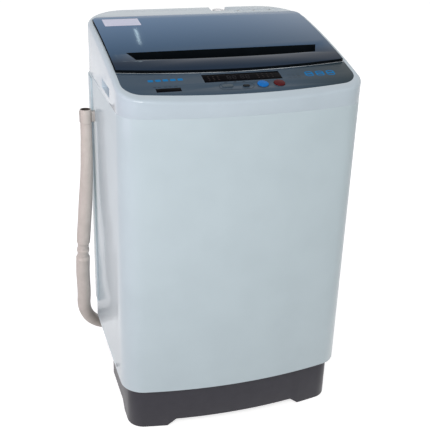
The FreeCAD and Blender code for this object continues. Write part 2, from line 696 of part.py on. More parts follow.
def make_leveling_foot():
    pad = cylinder(FOOT_R, ADJUSTABLE_FOOT_XY, 0, FOOT_H)
    stud = cylinder(FOOT_STUD_R, ADJUSTABLE_FOOT_XY, FOOT_H, FOOT_STUD_TOP_Z)
    return pad.fuse(stud)


# ---- top cover ----------------------------------------------------------------------------
PIVOT_Z = top_z(PIVOT_Y, LID_T) - LID_PIVOT_DOWN
SWEEP_R = LID_PIVOT_BACK + LID_REAR_GAP / 2
TROUGH_Y = (PIVOT_Y - 4 * LID_PIN_R, RECESS_REAR_Y + MOULD_T)
TROUGH_FLOOR_Z = PIVOT_Z - SWEEP_R - 2 * LOOSE_FIT
EAR_OUT_X = LID_EAR_X + LID_EAR_T
BLOCK_IN_X = EAR_OUT_X + LOOSE_FIT
PIN_BOSS_R = LID_PIVOT_DOWN - LOOSE_FIT


def drawer_space(grow, low_y, high_y):
    x = (DRAWER_X[0] - grow, DRAWER_X[1] + grow)
    return box(x, (low_y, high_y), (DRAWER_LOW_Z - grow, DRAWER_LOW_Z + DRAWER_H + grow))


def notch(grow):
    x = (NOTCH_X[0] - grow, NOTCH_X[1] + grow)
    return box(x, (NOTCH_FRONT_Y - grow, REAR_Y + 2 * MOULD_T), (NOTCH_FLOOR_Z - grow, SKY_Z))


def side_grip(grow):
    x = (HALF_W - GRIP_DEPTH - grow, HALF_W + grow)
    y = (GRIP_Y - GRIP_W / 2 - grow, GRIP_Y + GRIP_W / 2 + grow)
    return both_sides(box(x, y, (GRIP_LOW_Z - grow, GRIP_LOW_Z + GRIP_H + grow)))


def button_places():
    return [(START_XY, ROUND_BUTTON), (POWER_XY, ROUND_BUTTON),
            (PROGRAM_XY, PROGRAM_BUTTON), (LEVEL_XY, LEVEL_BUTTON)]


def button_holes():
    return [normal_prism(xy, half_len, radius + LOOSE_FIT, -MOULD_T, 2 * DECK_DEPTH)
            for xy, (half_len, radius) in button_places()]


def pin_blocks():
    """Bearings of the lid pins, standing in from the ends of the trough."""
    wide = RECESS_HALF_W + MOULD_T / 2 - BLOCK_IN_X
    boss = Part.makeCylinder(PIN_BOSS_R, wide, V(BLOCK_IN_X, PIVOT_Y, PIVOT_Z), V(1, 0, 0))
    stem = box((BLOCK_IN_X, BLOCK_IN_X + wide), (PIVOT_Y - PIN_BOSS_R, PIVOT_Y + LID_PIN_R),
               (PIVOT_Z - LID_PIN_R - MOULD_T, PIVOT_Z))
    block = boss.fuse(stem)
    pin = Part.makeCylinder(LID_PIN_R + RUN_FIT, FAR, V(BLOCK_IN_X - 1, PIVOT_Y, PIVOT_Z),
                            V(1, 0, 0))
    bore = pin.common(box((0, EAR_OUT_X + LID_PIN_L + LOOSE_FIT), (-FAR, FAR), (0, SKY_Z)))
    block = block.cut(bore)
    return [block, mirror_x(block)]


def make_top_cover():
    low = SEAM_Z
    body = plan(0, low, SKY_Z).common(under(0))
    rim = [edge for edge in body.Edges if edge.BoundBox.ZMax > MOUTH_LOW_Z
           and edge.CenterOfMass.z > SEAM_Z + MOULD_T and not is_upright(edge)]
    body = body.makeFillet(TOP_EDGE_R, rim)
    hollow = plan(MOULD_T, low - 1, SKY_Z).common(under(MOULD_T))
    deck = layer(recess(-MOULD_T), MOULD_T, DECK_DEPTH)
    trough_low = TROUGH_FLOOR_Z - MOULD_T
    beam = recess(-MOULD_T).common(box((-FAR, FAR), (TROUGH_Y[0] - MOULD_T, FAR),
                                       (trough_low, SKY_Z)))
    hollow = hollow.cut([deck, beam, mouth(MOULD_T, MOUTH_LOW_Z), notch(MOULD_T),
                         side_grip(MOULD_T)])
    pocket = recess().common(under(-TOP_EDGE_R)).cut(under(LEDGE_DEPTH))
    trough = recess().common(box((-FAR, FAR), TROUGH_Y, (TROUGH_FLOOR_Z, SKY_Z)))
    window = drawer_space(LOOSE_FIT, MOUTH_REAR_Y - 1, MOUTH_REAR_Y + 2 * MOULD_T)
    inlet = cylinder(INLET_BORE_R + MOULD_T, INLET_XY, NOTCH_FLOOR_Z - 2 * MOULD_T, SKY_Z)
    plate = layer(column(DECK_COVER_X, DECK_COVER_Y), -1, DECK_COVER_T)
    cover = body.cut([hollow, pocket, trough, mouth(0, low - 1), window, notch(0), inlet,
                      side_grip(0), plate] + button_holes()
                     + deck_screws(SCREW_SHANK_R, SCREW_SHANK_R))
    return cover.fuse(pin_blocks()).removeSplitter()


def is_upright(edge):
    box_size = edge.BoundBox
    return box_size.ZLength > MOULD_T and box_size.XLength + box_size.YLength < MOULD_T


def make_deck_cover():
    plate = layer(column(DECK_COVER_X, DECK_COVER_Y), 0, DECK_COVER_T)
    return plate.cut(deck_screws(SCREW_HEAD_R, SCREW_SHANK_R))


# ---- lid ----------------------------------------------------------------------------------
def make_lid():
    slab = layer(lid_plan(), -LID_PROUD, LID_T)
    hollow = layer(lid_plan(LID_RIM_W), LID_SKIN - LID_PROUD, LID_T + 1)
    slab = slab.cut([hollow, lid_grip(0, LID_T + 1)])
    pan = lid_grip(LID_GRIP_WALL, LID_GRIP_DEEP + LID_GRIP_WALL).common(under(-LID_PROUD))
    pan = pan.cut(lid_grip(0, LID_GRIP_DEEP))
    ear = box((LID_EAR_X, EAR_OUT_X), (PIVOT_Y - 2 * LID_PIN_R, PIVOT_Y + 2 * LID_PIN_R),
              (PIVOT_Z - LID_PIN_R - 1, top_z(PIVOT_Y, LID_SKIN / 2 - LID_PROUD)))
    pin = Part.makeCylinder(LID_PIN_R, LID_PIN_L + 1, V(EAR_OUT_X - 1, PIVOT_Y, PIVOT_Z),
                            V(1, 0, 0))
    hinge = ear.fuse(pin)
    pocket = magnet_place(MAGNET_WALL, LID_SKIN / 2 - LID_PROUD, LID_T)
    lid = slab.fuse([pan, hinge, mirror_x(hinge), pocket])
    tail = box((-FAR, FAR), (PIVOT_Y, FAR), (0, SKY_Z))
    roll = Part.makeCylinder(SWEEP_R, 2 * FAR, V(-FAR, PIVOT_Y, PIVOT_Z), V(1, 0, 0))
    return lid.cut([magnet_space(), tail.cut(roll)]).removeSplitter()


def magnet_place(grow, depth, low_depth):
    long, wide, thick = MAGNET_SIZE
    x, y = MAGNET_XY
    place = column((x - long / 2 - grow, x + long / 2 + grow),
                   (y - wide / 2 - grow, y + wide / 2 + grow))
    return layer(place, depth, low_depth)


def magnet_space():
    return magnet_place(0, LID_T - MAGNET_SIZE[2], LID_T)


def make_reed_switch():
    return magnet_place(0, DECK_DEPTH, DECK_DEPTH + 2 * MAGNET_SIZE[2])


# ---- control panel ------------------------------------------------------------------------
def flat_window(xy, size, depth, low_depth):
    x = (xy[0] - size[0] / 2, xy[0] + size[0] / 2)
    y = (xy[1] - size[1] / 2, xy[1] + size[1] / 2)
    return layer(column(x, y), depth, low_depth)


def make_control_panel():
    panel = layer(recess(LOOSE_FIT / 2), 0, LEDGE_DEPTH).cut(trim_disc(TRIM_W / 2))
    windows = [flat_window(DISPLAY_XY, DISPLAY_SIZE, -1, WINDOW_T),
               flat_window(STATUS_XY, STATUS_SIZE, -1, WINDOW_T)]
    return panel.cut(windows + button_holes())


def make_panel_trim():
    strip = layer(recess(LOOSE_FIT / 2), 0, LEDGE_DEPTH)
    return strip.common(trim_disc(TRIM_W / 2)).cut(trim_disc(-TRIM_W / 2))


def make_button(xy, shape):
    half_len, radius = shape
    cap = normal_prism(xy, half_len, radius, -BUTTON_PROUD, BUTTON_LOW_DEPTH)
    flange = normal_prism(xy, half_len, radius + BUTTON_FLANGE, DECK_DEPTH + LOOSE_FIT,
                          BUTTON_LOW_DEPTH)
    return cap.fuse(flange).removeSplitter()


def make_control_board():
    x_mid = (LEVEL_XY[0] + POWER_XY[0]) / 2
    x = (x_mid - BOARD_SIZE[0] / 2, x_mid + BOARD_SIZE[0] / 2)
    y = (POWER_XY[1] - BOARD_SIZE[1] / 4, POWER_XY[1] + 3 * BOARD_SIZE[1] / 4)
    board = layer(column(x, y), BOARD_DROP, BOARD_DROP + BOARD_T)
    posts = []
    for px in (x[0], x[1] - BOARD_POST):
        for py in (y[0], y[1] - BOARD_POST):
            post = column((px, px + BOARD_POST), (py, py + BOARD_POST))
            posts.append(layer(post, DECK_DEPTH, BOARD_DROP + 1))
    return board.fuse(posts).removeSplitter()


# ---- water inlet and detergent drawer -----------------------------------------------------
def make_water_valve():
    x, y = INLET_XY
    nipple = ring(INLET_R, INLET_BORE_R, INLET_XY, NOTCH_FLOOR_Z, NOTCH_FLOOR_Z + INLET_L)
    neck = ring(INLET_BORE_R + MOULD_T, INLET_BORE_R, INLET_XY, NOTCH_FLOOR_Z - MOULD_T,
                NOTCH_FLOOR_Z + MOULD_T)
    top = NOTCH_FLOOR_Z - MOULD_T
    block = box((x - VALVE_SIZE[0] / 2, x + VALVE_SIZE[0] / 2),
                (y - VALVE_SIZE[1] / 2, y + VALVE_SIZE[1] / 2), (top - VALVE_SIZE[2], top))
    return block.fuse([neck, nipple]).removeSplitter()


def make_inlet_strainer():
    low = NOTCH_FLOOR_Z - MOULD_T
    cup = cylinder(INLET_BORE_R, INLET_XY, low, low + MOULD_T)
    return cup.fuse(cylinder(INLET_BORE_R / 3, INLET_XY, low, low + 3 * MOULD_T))


def make_dispenser_housing():
    wall = DRAWER_T
    outer = drawer_space(LOOSE_FIT + wall, MOUTH_REAR_Y + MOULD_T,
                         MOUTH_REAR_Y + DRAWER_DEPTH + 2 * wall + LOOSE_FIT)
    roof_z = DRAWER_LOW_Z + DRAWER_H + LOOSE_FIT + wall
    post_x = (DRAWER_X[0], DRAWER_X[1])
    post = box(post_x, (MOUTH_REAR_Y + MOULD_T, MOUTH_REAR_Y + 4 * MOULD_T),
               (roof_z - wall / 2, TROUGH_FLOOR_Z - MOULD_T))
    inner = drawer_space(LOOSE_FIT, 0, MOUTH_REAR_Y + DRAWER_DEPTH + wall + LOOSE_FIT)
    return outer.fuse(post).cut(inner)


def make_detergent_drawer():
    front = MOUTH_REAR_Y
    x, z = DRAWER_X, (DRAWER_LOW_Z, DRAWER_LOW_Z + DRAWER_H)
    block = box(x, (front, front + DRAWER_DEPTH), z)
    wall = DRAWER_T
    hollow = box((x[0] + wall, x[1] - wall),
                 (front + 2 * wall, front + DRAWER_DEPTH - wall), (z[0] + wall, z[1] + wall))
    return block.cut(hollow)


def make_pressure_switch():
    right = DECK_SCREW_MID_X + DECK_SCREW_STEP - SCREW_HEAD_R
    can = column((DECK_SCREW_MID_X + SCREW_HEAD_R, right), DECK_COVER_Y)
    low_depth = MOULD_T + DECK_COVER_T + MOULD_T
    return layer(can, MOULD_T, low_depth + 24)


# ---- tub and basket -----------------------------------------------------------------------
CUP_LOW_Z = ROD_LOW_Z + SPRING_SEAT_T + SPRING_L
LUG_LOW_Z = CUP_LOW_Z + CUP_H
SEAL_R = BEARING_R - 2.0
TUB_FLOOR_TOP_Z = TUB_LOW_Z + TUB_FLOOR_T


def drain_hole(low_z, top_z_limit):
    return cylinder(DRAIN_SPIGOT_R, DRAIN_XY, low_z, top_z_limit)


def make_outer_tub():
    tub = cylinder(TUB_R, (0, 0), TUB_LOW_Z, TUB_TOP_Z)
    inside = cylinder(TUB_R - TUB_T, (0, 0), TUB_FLOOR_TOP_Z, TUB_TOP_Z + 1)
    lugs = []
    for x, y in ROD_CORNERS:
        arm = box((TUB_R - TUB_T, ROD_REACH), (-LUG_R * 0.8, LUG_R * 0.8),
                  (LUG_LOW_Z, LUG_LOW_Z + LUG_H))
        arm.rotate(V(0, 0, 0), V(0, 0, 1), degrees(atan2(y, x)))
        lugs += [arm, cylinder(LUG_R, (x, y), LUG_LOW_Z, LUG_LOW_Z + LUG_H)]
    tub = tub.fuse(lugs).cut(inside)
    holes = [cylinder(ROD_R + LOOSE_FIT, xy, LUG_LOW_Z - 1, TUB_TOP_Z) for xy in ROD_CORNERS]
    holes.append(cylinder(SEAL_R, (0, 0), TUB_LOW_Z - 1, TUB_FLOOR_TOP_Z + 1))
    holes.append(drain_hole(TUB_LOW_Z - 1, TUB_FLOOR_TOP_Z + 1))
    return tub.cut(holes).removeSplitter()


def make_tub_ring():
    return ring(TUB_R + TUB_T, TUB_MOUTH_R, (0, 0), TUB_TOP_Z, TUB_TOP_Z + TUB_RING_H)


def make_shaft_seal():
    return ring(SEAL_R, SPIN_SHAFT_R + RUN_FIT, (0, 0), TUB_LOW_Z, TUB_LOW_Z + 2 * TUB_FLOOR_T)


def make_wash_basket():
    wall_r = BASKET_R - BASKET_T
    wall = ring(BASKET_R, wall_r, (0, 0), BASKET_LOW_Z, BASKET_TOP_Z)
    return wall


def make_basket_base():
    wall_r = BASKET_R - BASKET_T
    dish = cylinder(wall_r, (0, 0), BASKET_LOW_Z, BASKET_LOW_Z + TUB_FLOOR_T)
    rim = ring(wall_r, wall_r - 2 * MOULD_T, (0, 0), BASKET_LOW_Z, BASKET_LOW_Z + BASKET_FLOOR_H)
    hub = cylinder(2.6 * SPIN_SHAFT_R, (0, 0), BASKET_LOW_Z, BASKET_LOW_Z + BASKET_FLOOR_H)
    base = dish.fuse([rim, hub])
    return base.cut(cylinder(SPIN_SHAFT_R, (0, 0), 0, BASKET_TOP_Z)).removeSplitter()


def make_balance_ring():
    low = BASKET_TOP_Z
    body = ring(BASKET_R, BALANCE_MOUTH_R, (0, 0), low, low + BALANCE_H)
    return body.makeFillet(BALANCE_H / 9, [e for e in body.Edges
                                           if e.CenterOfMass.z > low + BALANCE_H - 1])


def make_lint_filter():
    wide, deep, high = LINT_SIZE
    case = box((-wide / 2, wide / 2), (0, BASKET_R), (LINT_LOW_Z, LINT_LOW_Z + high))
    case = case.common(cylinder(BASKET_R - BASKET_T, (0, 0), 0, BASKET_TOP_Z))
    return case.cut(cylinder(BASKET_R - BASKET_T - deep, (0, 0), 0, BASKET_TOP_Z))


def make_spin_shaft():
    top = BASKET_LOW_Z + BASKET_FLOOR_H
    return ring(SPIN_SHAFT_R, WASH_SHAFT_R + RUN_FIT, (0, 0), CLUTCH_LOW_Z, top)


# ---- pulsator and its shaft ---------------------------------------------------------------
PULSATOR_LOW_Z = BASKET_LOW_Z + BASKET_FLOOR_H + PULSATOR_GAP


def make_pulsator():
    low = PULSATOR_LOW_Z
    top = low + PULSATOR_T
    disc = cylinder(PULSATOR_R, (0, 0), low, top)
    dome = Part.makeCone(PULSATOR_R / 3, PULSATOR_R / 6, VANE_H / 2, V(0, 0, top))
    vanes = []
    for k in range(VANES):
        vane = box((PULSATOR_R / 6, PULSATOR_R * 0.94), (-PULSATOR_T, PULSATOR_T),
                   (low, top + VANE_H))
        slope = Part.makeCone(PULSATOR_R, PULSATOR_R * 0.45, PULSATOR_T + VANE_H, V(0, 0, low))
        vane = vane.common(slope)
        vane.rotate(V(0, 0, 0), V(0, 0, 1), 360.0 * k / VANES)
        vanes.append(vane)
    pulsator = disc.fuse([dome] + vanes)
    screw = make_pulsator_screw()
    return pulsator.cut([cylinder(WASH_SHAFT_R, (0, 0), 0, low + PULSATOR_T / 2), screw,
                         cylinder(PULSATOR_R / 7, (0, 0), top + VANE_H / 2, SEAM_Z)])


def make_pulsator_screw():
    top = PULSATOR_LOW_Z + PULSATOR_T + VANE_H / 2
    head = cylinder(SCREW_HEAD_R * 2, (0, 0), top - SCREW_HEAD_R, top)
    return head.fuse(cylinder(WASH_SHAFT_R / 3, (0, 0), PULSATOR_LOW_Z - 2 * SCREW_L, top - 1))


def make_wash_shaft():
    shaft = cylinder(WASH_SHAFT_R, (0, 0), PULLEY_LOW_Z, PULSATOR_LOW_Z + PULSATOR_T / 2)
    return shaft.cut(make_pulsator_screw())


# ---- drive under the tub ------------------------------------------------------------------
def make_tub_carrier():
    plate = box(CARRIER_X, (-CARRIER_HALF_Y, CARRIER_HALF_Y), (CARRIER_LOW_Z, TUB_LOW_Z))
    return plate.cut(cylinder(BEARING_R, (0, 0), 0, TUB_TOP_Z))


def bearing_places():
    return [(CLUTCH_LOW_Z, CLUTCH_LOW_Z + BEARING_H), (CARRIER_LOW_Z - BEARING_H, CARRIER_LOW_Z)]


def make_clutch_housing():
    body = cylinder(CLUTCH_R, (0, 0), CLUTCH_LOW_Z, CARRIER_LOW_Z)
    bores = [cylinder(BEARING_R, (0, 0), low, high) for low, high in bearing_places()]
    bores.append(cylinder(BEARING_R - MOULD_T, (0, 0), CLUTCH_LOW_Z, CARRIER_LOW_Z))
    return body.cut(bores)


def make_bearings():
    return Part.makeCompound([ring(BEARING_R, SPIN_SHAFT_R + RUN_FIT, (0, 0), low, high)
                              for low, high in bearing_places()])


def make_motor():
    body = cylinder(MOTOR_R, (MOTOR_X, 0), MOTOR_LOW_Z, CARRIER_LOW_Z)
    bore = cylinder(MOTOR_SHAFT_R + RUN_FIT, (MOTOR_X, 0), MOTOR_LOW_Z - 1, MOTOR_LOW_Z + MOTOR_R)
    return body.cut(bore)


def make_motor_shaft():
    top = MOTOR_LOW_Z + MOTOR_R - LOOSE_FIT
    return cylinder(MOTOR_SHAFT_R, (MOTOR_X, 0), PULLEY_LOW_Z, top)


def make_pulley(centre_x, groove_r, bore_r):
    """A flat-grooved pulley: two flanges with the belt's seat between them."""
    low = PULLEY_LOW_Z
    groove = BELT_W + 2 * LOOSE_FIT
    high = low + groove + 2 * PULLEY_FLANGE_T
    flange_r = groove_r + PULLEY_FLANGE_UP
    flanges = [cylinder(flange_r, (centre_x, 0), low, low + PULLEY_FLANGE_T),
               cylinder(flange_r, (centre_x, 0), high - PULLEY_FLANGE_T, high)]
    body = cylinder(groove_r, (centre_x, 0), low, high).fuse(flanges)
    return body.cut(cylinder(bore_r, (centre_x, 0), 0, TUB_LOW_Z))


def belt_solid(grow):
    """Everything inside a loop round both pulleys, grow outside their grooves."""
    low = PULLEY_LOW_Z + PULLEY_FLANGE_T + LOOSE_FIT
    r_a = CLUTCH_PULLEY_R + grow
    r_b = MOTOR_PULLEY_R + grow
    lean = asin((r_a - r_b) / MOTOR_X)
    side = V(sin(lean), cos(lean), 0)
    up = side * r_a
    far_up = V(MOTOR_X, 0, 0) + side * r_b
    lower = V(up.x, -up.y, 0)
    far_low = V(far_up.x, -far_up.y, 0)
    wire = Part.Wire([
        Part.LineSegment(up, far_up).toShape(),
        Part.Arc(far_up, V(MOTOR_X + r_b, 0, 0), far_low).toShape(),
        Part.LineSegment(far_low, lower).toShape(),
        Part.Arc(lower, V(-r_a, 0, 0), up).toShape(),
    ])
    return upright(wire, low, low + BELT_W)


def make_drive_belt():
    return belt_solid(LOOSE_FIT + BELT_T).cut(belt_solid(LOOSE_FIT))


# ---- drain --------------------------------------------------------------------------------
VALVE_FACE_Y = DRAIN_XY[1] - DRAIN_VALVE_R
SPIGOT_LOW_Z = DRAIN_VALVE_LOW_Z - DRAIN_SPIGOT_L


def pull_rod(radius, start_y, end_y):
    x = DRAIN_XY[0]
    return rod_between(radius, V(x, start_y, PULL_ROD_Z), V(x, end_y, PULL_ROD_Z))


def make_drain_valve():
    body = cylinder(DRAIN_VALVE_R, DRAIN_XY, DRAIN_VALVE_LOW_Z, TUB_LOW_Z)
    spigot = cylinder(DRAIN_SPIGOT_R, DRAIN_XY, SPIGOT_LOW_Z, DRAIN_VALVE_LOW_Z + 1)
    bore = cylinder(DRAIN_SPIGOT_R - MOULD_T, DRAIN_XY, SPIGOT_LOW_Z - 1, PULL_ROD_Z - 15)
    stem = pull_rod(PULL_ROD_R + RUN_FIT, VALVE_FACE_Y - MOULD_T, VALVE_FACE_Y + DRAIN_VALVE_R)
    return body.fuse(spigot).cut([bore, stem])


def make_drain_rod():
    rod = pull_rod(PULL_ROD_R, ACTUATOR_Y - PULL_TRAVEL, VALVE_FACE_Y + 1.5 * PULL_TRAVEL)
    collar = pull_rod(2 * PULL_ROD_R, VALVE_FACE_Y - 2 * PULL_TRAVEL,
                      VALVE_FACE_Y - 1.7 * PULL_TRAVEL)
    return rod.fuse(collar)


def make_drain_actuator():
    wide, deep, high = ACTUATOR_SIZE
    x = DRAIN_XY[0]
    body = box((x - wide / 2, x + wide / 2), (ACTUATOR_Y - deep, ACTUATOR_Y),
               (TUB_LOW_Z - high, TUB_LOW_Z))
    return body.cut(pull_rod(PULL_ROD_R + RUN_FIT, ACTUATOR_Y - 2.5 * PULL_TRAVEL,
                             ACTUATOR_Y + 1))


def make_sump_hose():
    """Sleeve under the valve, down to the floor of the base and back to the outlet."""
    bore_r = DRAIN_SPIGOT_R + LOOSE_FIT
    outer_r = bore_r + SUMP_HOSE_T
    x, y = DRAIN_XY
    top = DRAIN_VALVE_LOW_Z - TUB_TRAVEL_DOWN - MOULD_T
    end = V(x, SKIRT_REAR_Y - 4 * MOULD_T, OUTLET_Z)
    bend = V(x, y, OUTLET_Z)

    def pipe(radius, grow):
        fall = cylinder(radius, (x, y), OUTLET_Z, top + grow)
        knee = Part.makeSphere(radius, bend)
        return fall.fuse([knee, rod_between(radius, bend, end + V(0, grow, 0))])

    return pipe(outer_r, 0).cut(pipe(bore_r, 1))


def make_drain_outlet():
    """Elbow from the sump hose through the rear of the skirt, in line with the hose."""
    x = DRAIN_XY[0]
    start = V(x, SKIRT_REAR_Y - 6 * MOULD_T, OUTLET_Z)
    knee = V(x, OUTLET_Y, OUTLET_Z)
    end = V(*HOSE_ROUTE[0])
    out = (end - knee).normalize()

    def elbow(radius, grow):
        runs = [Part.makeSphere(radius, knee), rod_between(radius, knee, end + out * grow)]
        return rod_between(radius, start - V(0, grow, 0), knee).fuse(runs)

    flange = rod_between(DRAIN_SPIGOT_R + MOULD_T, V(x, SKIRT_REAR_Y, OUTLET_Z),
                         V(x, SKIRT_REAR_Y + MOULD_T, OUTLET_Z))
    return elbow(DRAIN_SPIGOT_R, 0).fuse(flange).cut(elbow(DRAIN_SPIGOT_R - MOULD_T, 1))


# ---- suspension ---------------------------------------------------------------------------
def make_hanger_brackets():
    plate = plan(STEEL_T, HANGER_Z, HANGER_Z + HANGER_T)
    plate = plate.cut(cylinder(ROD_REACH - HANGER_LAND, (0, 0), 0, SEAM_Z))
    inner_x = HALF_W - HANGER_CORNER[0] - STEEL_T
    inner_y = REAR_Y - HANGER_CORNER[1] - STEEL_T
    plate = plate.cut(box((-FAR, FAR), (-inner_y, inner_y), (0, SEAM_Z)))
    plate = plate.cut(box((-inner_x, inner_x), (-FAR, FAR), (0, SEAM_Z)))
    return plate.cut([cylinder(ROD_R + STEEL_T, xy, 0, SEAM_Z) for xy in ROD_CORNERS])


def make_rod_seats():
    return Part.makeCompound([ring(ROD_SEAT_R, ROD_R, xy, HANGER_Z + HANGER_T, ROD_HEAD_Z)
                              for xy in ROD_CORNERS])


def make_suspension_rods():
    rods = []
    for xy in ROD_CORNERS:
        rod = cylinder(ROD_R, xy, ROD_LOW_Z, ROD_TOP_Z)
        seat = cylinder(SPRING_SEAT_R, xy, ROD_LOW_Z, ROD_LOW_Z + SPRING_SEAT_T)
        head = cylinder(2 * ROD_R, xy, ROD_HEAD_Z, ROD_TOP_Z)
        rods.append(rod.fuse([seat, head]))
    return Part.makeCompound(rods)


def make_suspension_springs():
    low = ROD_LOW_Z + SPRING_SEAT_T + SPRING_WIRE_R
    height = SPRING_L - 2 * SPRING_WIRE_R
    helix = Part.makeHelix(height / SPRING_TURNS, height, SPRING_R)
    corners = []
    for k in range(SPRING_WIRE_SIDES + 1):
        turn = 2 * pi * (k + 0.5) / SPRING_WIRE_SIDES
        corners.append(V(SPRING_R + SPRING_WIRE_R * cos(turn), 0, SPRING_WIRE_R * sin(turn)))
    spring = Part.Wire(helix).makePipeShell([Part.makePolygon(corners)], True, True)
    springs = []
    for x, y in ROD_CORNERS:
        copy = spring.copy()
        copy.translate(V(x, y, low))
        springs.append(copy)
    return Part.makeCompound(springs)


def make_damper_cups():
    return Part.makeCompound([ring(CUP_R, ROD_R + LOOSE_FIT, xy, CUP_LOW_Z, LUG_LOW_Z)
                              for xy in ROD_CORNERS])


# ---- drain hose on the left side ----------------------------------------------------------
def hose_path(points):
    """Straight runs joined by tangent arcs, with the radius of each arc."""
    corners = [V(*point) for point in points]
    edges = []
    radii = []
    start = corners[0]
    for before, here, after in zip(corners, corners[1:], corners[2:]):
        run_in = here - before
        run_out = after - here
        half_turn = run_in.getAngle(run_out) / 2
        cut = 0.45 * min(run_in.Length, run_out.Length)
        radii.append(cut / tan(half_turn))
        to_before = (before - here).normalize()
        to_after = (after - here).normalize()
        arc_in = here + to_before * cut
        arc_out = here + to_after * cut
        inward = (to_before + to_after).normalize()
        middle = here + inward * (radii[-1] * (1 / cos(half_turn) - 1))
        edges.append(Part.LineSegment(start, arc_in).toShape())
        edges.append(Part.Arc(arc_in, middle, arc_out).toShape())
        start = arc_out
    edges.append(Part.LineSegment(start, corners[-1]).toShape())
    return Part.Wire(edges), radii


def make_drain_hose():
    path, radii = hose_path(HOSE_ROUTE)
    start = V(*HOSE_ROUTE[0])
    heading = V(*HOSE_ROUTE[1]) - start
    section = Part.Wire(Part.makeCircle(HOSE_R, start, heading))
    hose = path.makePipeShell([section], True, True)
    ideal = pi * HOSE_R ** 2 * path.Length
    print("drain hose: length %.0f mm, smallest radius %.0f mm, volume ratio %.4f"
          % (path.Length, min(radii), hose.Volume / ideal))
    print("arc radii: " + ", ".join("%.0f" % radius for radius in radii))
    return hose


def hose_end():
    """The open end of the hose and the direction it points in."""
    end = V(*HOSE_ROUTE[-1])
    return end, (end - V(*HOSE_ROUTE[-2])).normalize()


def make_hose_cuff():
    end, out = hose_end()
    return Part.makeCylinder(HOSE_CUFF_R, HOSE_CUFF_L, end, out).cut(
        Part.makeCylinder(HOSE_BORE_R, HOSE_CUFF_L, end, out))


def make_hose_clip():
    """A half band behind the cuff with a tongue against the side of the shell."""
    end, out = hose_end()
    low = end + out * (HOSE_CUFF_L * 0.12)
    band = Part.makeCylinder(HOSE_CUFF_R + HOSE_CLAMP_T, HOSE_CUFF_L * 0.75, low, out)
    z = (low.z + 1, low.z + HOSE_CUFF_L * 0.75 - 1)
    tongue = box(sorted((end.x, -HALF_W)), (end.y - 5, end.y + 5), z)
    clip = band.fuse(tongue)
    front = box((end.x - 2 * HOSE_R, end.x + HOSE_CUFF_R * 0.9),
                (end.y - 2 * HOSE_R, end.y - HOSE_CUFF_R * 0.3), (z[0] - FAR, z[1] + FAR))
    bore = Part.makeCylinder(HOSE_CUFF_R, HOSE_CUFF_L * 2, end - out, out)
    return clip.cut([front, bore])


def make_hose_clamp():
    start = V(*HOSE_ROUTE[0])
    out = (V(*HOSE_ROUTE[1]) - start).normalize()
    band = Part.makeCylinder(HOSE_R + HOSE_CLAMP_T, HOSE_CLAMP_W, start, out)
    return band.cut(Part.makeCylinder(HOSE_R, HOSE_CLAMP_W, start, out))


# ---- all parts ----------------------------------------------------------------------------
parts = {
    "cabinet_shell": make_cabinet_shell(),
    "rear_cover": make_rear_cover(),
    "case_screws": make_case_screws(),
    "cable_gland": make_cable_gland(),
    "base_skirt": make_base_skirt(),
    "fixed_feet": make_fixed_feet(),
    "leveling_foot": make_leveling_foot(),
    "top_cover": make_top_cover(),
    "deck_cover": make_deck_cover(),
    "lid": make_lid(),
    "lid_magnet": magnet_space(),
    "reed_switch": make_reed_switch(),
    "control_panel": make_control_panel(),
    "panel_trim": make_panel_trim(),
    "display_window": flat_window(DISPLAY_XY, DISPLAY_SIZE, 0, WINDOW_T),
    "status_window": flat_window(STATUS_XY, STATUS_SIZE, 0, WINDOW_T),
    "start_button": make_button(START_XY, ROUND_BUTTON),
    "power_button": make_button(POWER_XY, ROUND_BUTTON),
    "program_button": make_button(PROGRAM_XY, PROGRAM_BUTTON),
    "level_button": make_button(LEVEL_XY, LEVEL_BUTTON),
    "control_board": make_control_board(),
    "water_valve": make_water_valve(),
    "inlet_strainer": make_inlet_strainer(),
    "dispenser_housing": make_dispenser_housing(),
    "detergent_drawer": make_detergent_drawer(),
    "pressure_switch": make_pressure_switch(),
    "outer_tub": make_outer_tub(),
    "tub_ring": make_tub_ring(),
    "shaft_seal": make_shaft_seal(),
    "wash_basket": make_wash_basket(),
    "basket_base": make_basket_base(),
    "balance_ring": make_balance_ring(),
    "lint_filter": make_lint_filter(),
    "spin_shaft": make_spin_shaft(),
    "pulsator": make_pulsator(),
    "pulsator_screw": make_pulsator_screw(),
    "wash_shaft": make_wash_shaft(),
    "tub_carrier": make_tub_carrier(),
    "clutch_housing": make_clutch_housing(),
    "bearings": make_bearings(),
    "motor": make_motor(),
    "motor_shaft": make_motor_shaft(),
    "motor_pulley": make_pulley(MOTOR_X, MOTOR_PULLEY_R, MOTOR_SHAFT_R),
    "clutch_pulley": make_pulley(0, CLUTCH_PULLEY_R, WASH_SHAFT_R),
    "drive_belt": make_drive_belt(),
    "drain_valve": make_drain_valve(),
    "drain_rod": make_drain_rod(),
    "drain_actuator": make_drain_actuator(),
    "sump_hose": make_sump_hose(),
    "drain_outlet": make_drain_outlet(),
    "hanger_brackets": make_hanger_brackets(),
    "rod_seats": make_rod_seats(),
    "suspension_rods": make_suspension_rods(),
    "suspension_springs": make_suspension_springs(),
    "damper_cups": make_damper_cups(),
    "drain_hose": make_drain_hose(),
    "hose_cuff": make_hose_cuff(),
    "hose_clip": make_hose_clip(),
    "hose_clamp": make_hose_clamp(),
}

os.makedirs("parts", exist_ok=True)
for name, shape in parts.items():
    shape.exportStep("parts/" + name + ".step")
    limits = shape.BoundBox
    print("%-20s solids %2d  volume %9.0f  x %6.1f %6.1f  y %6.1f %6.1f  z %6.1f %6.1f  %s"
          % (name, len(shape.Solids), shape.Volume, limits.XMin, limits.XMax, limits.YMin,
             limits.YMax, limits.ZMin, limits.ZMax, "ok" if shape.isValid() else "INVALID"))
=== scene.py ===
import bmesh
import bpy
import json
from math import cos, pi, radians, sin
from mathutils import Matrix, Vector
from mathutils.bvhtree import BVHTree


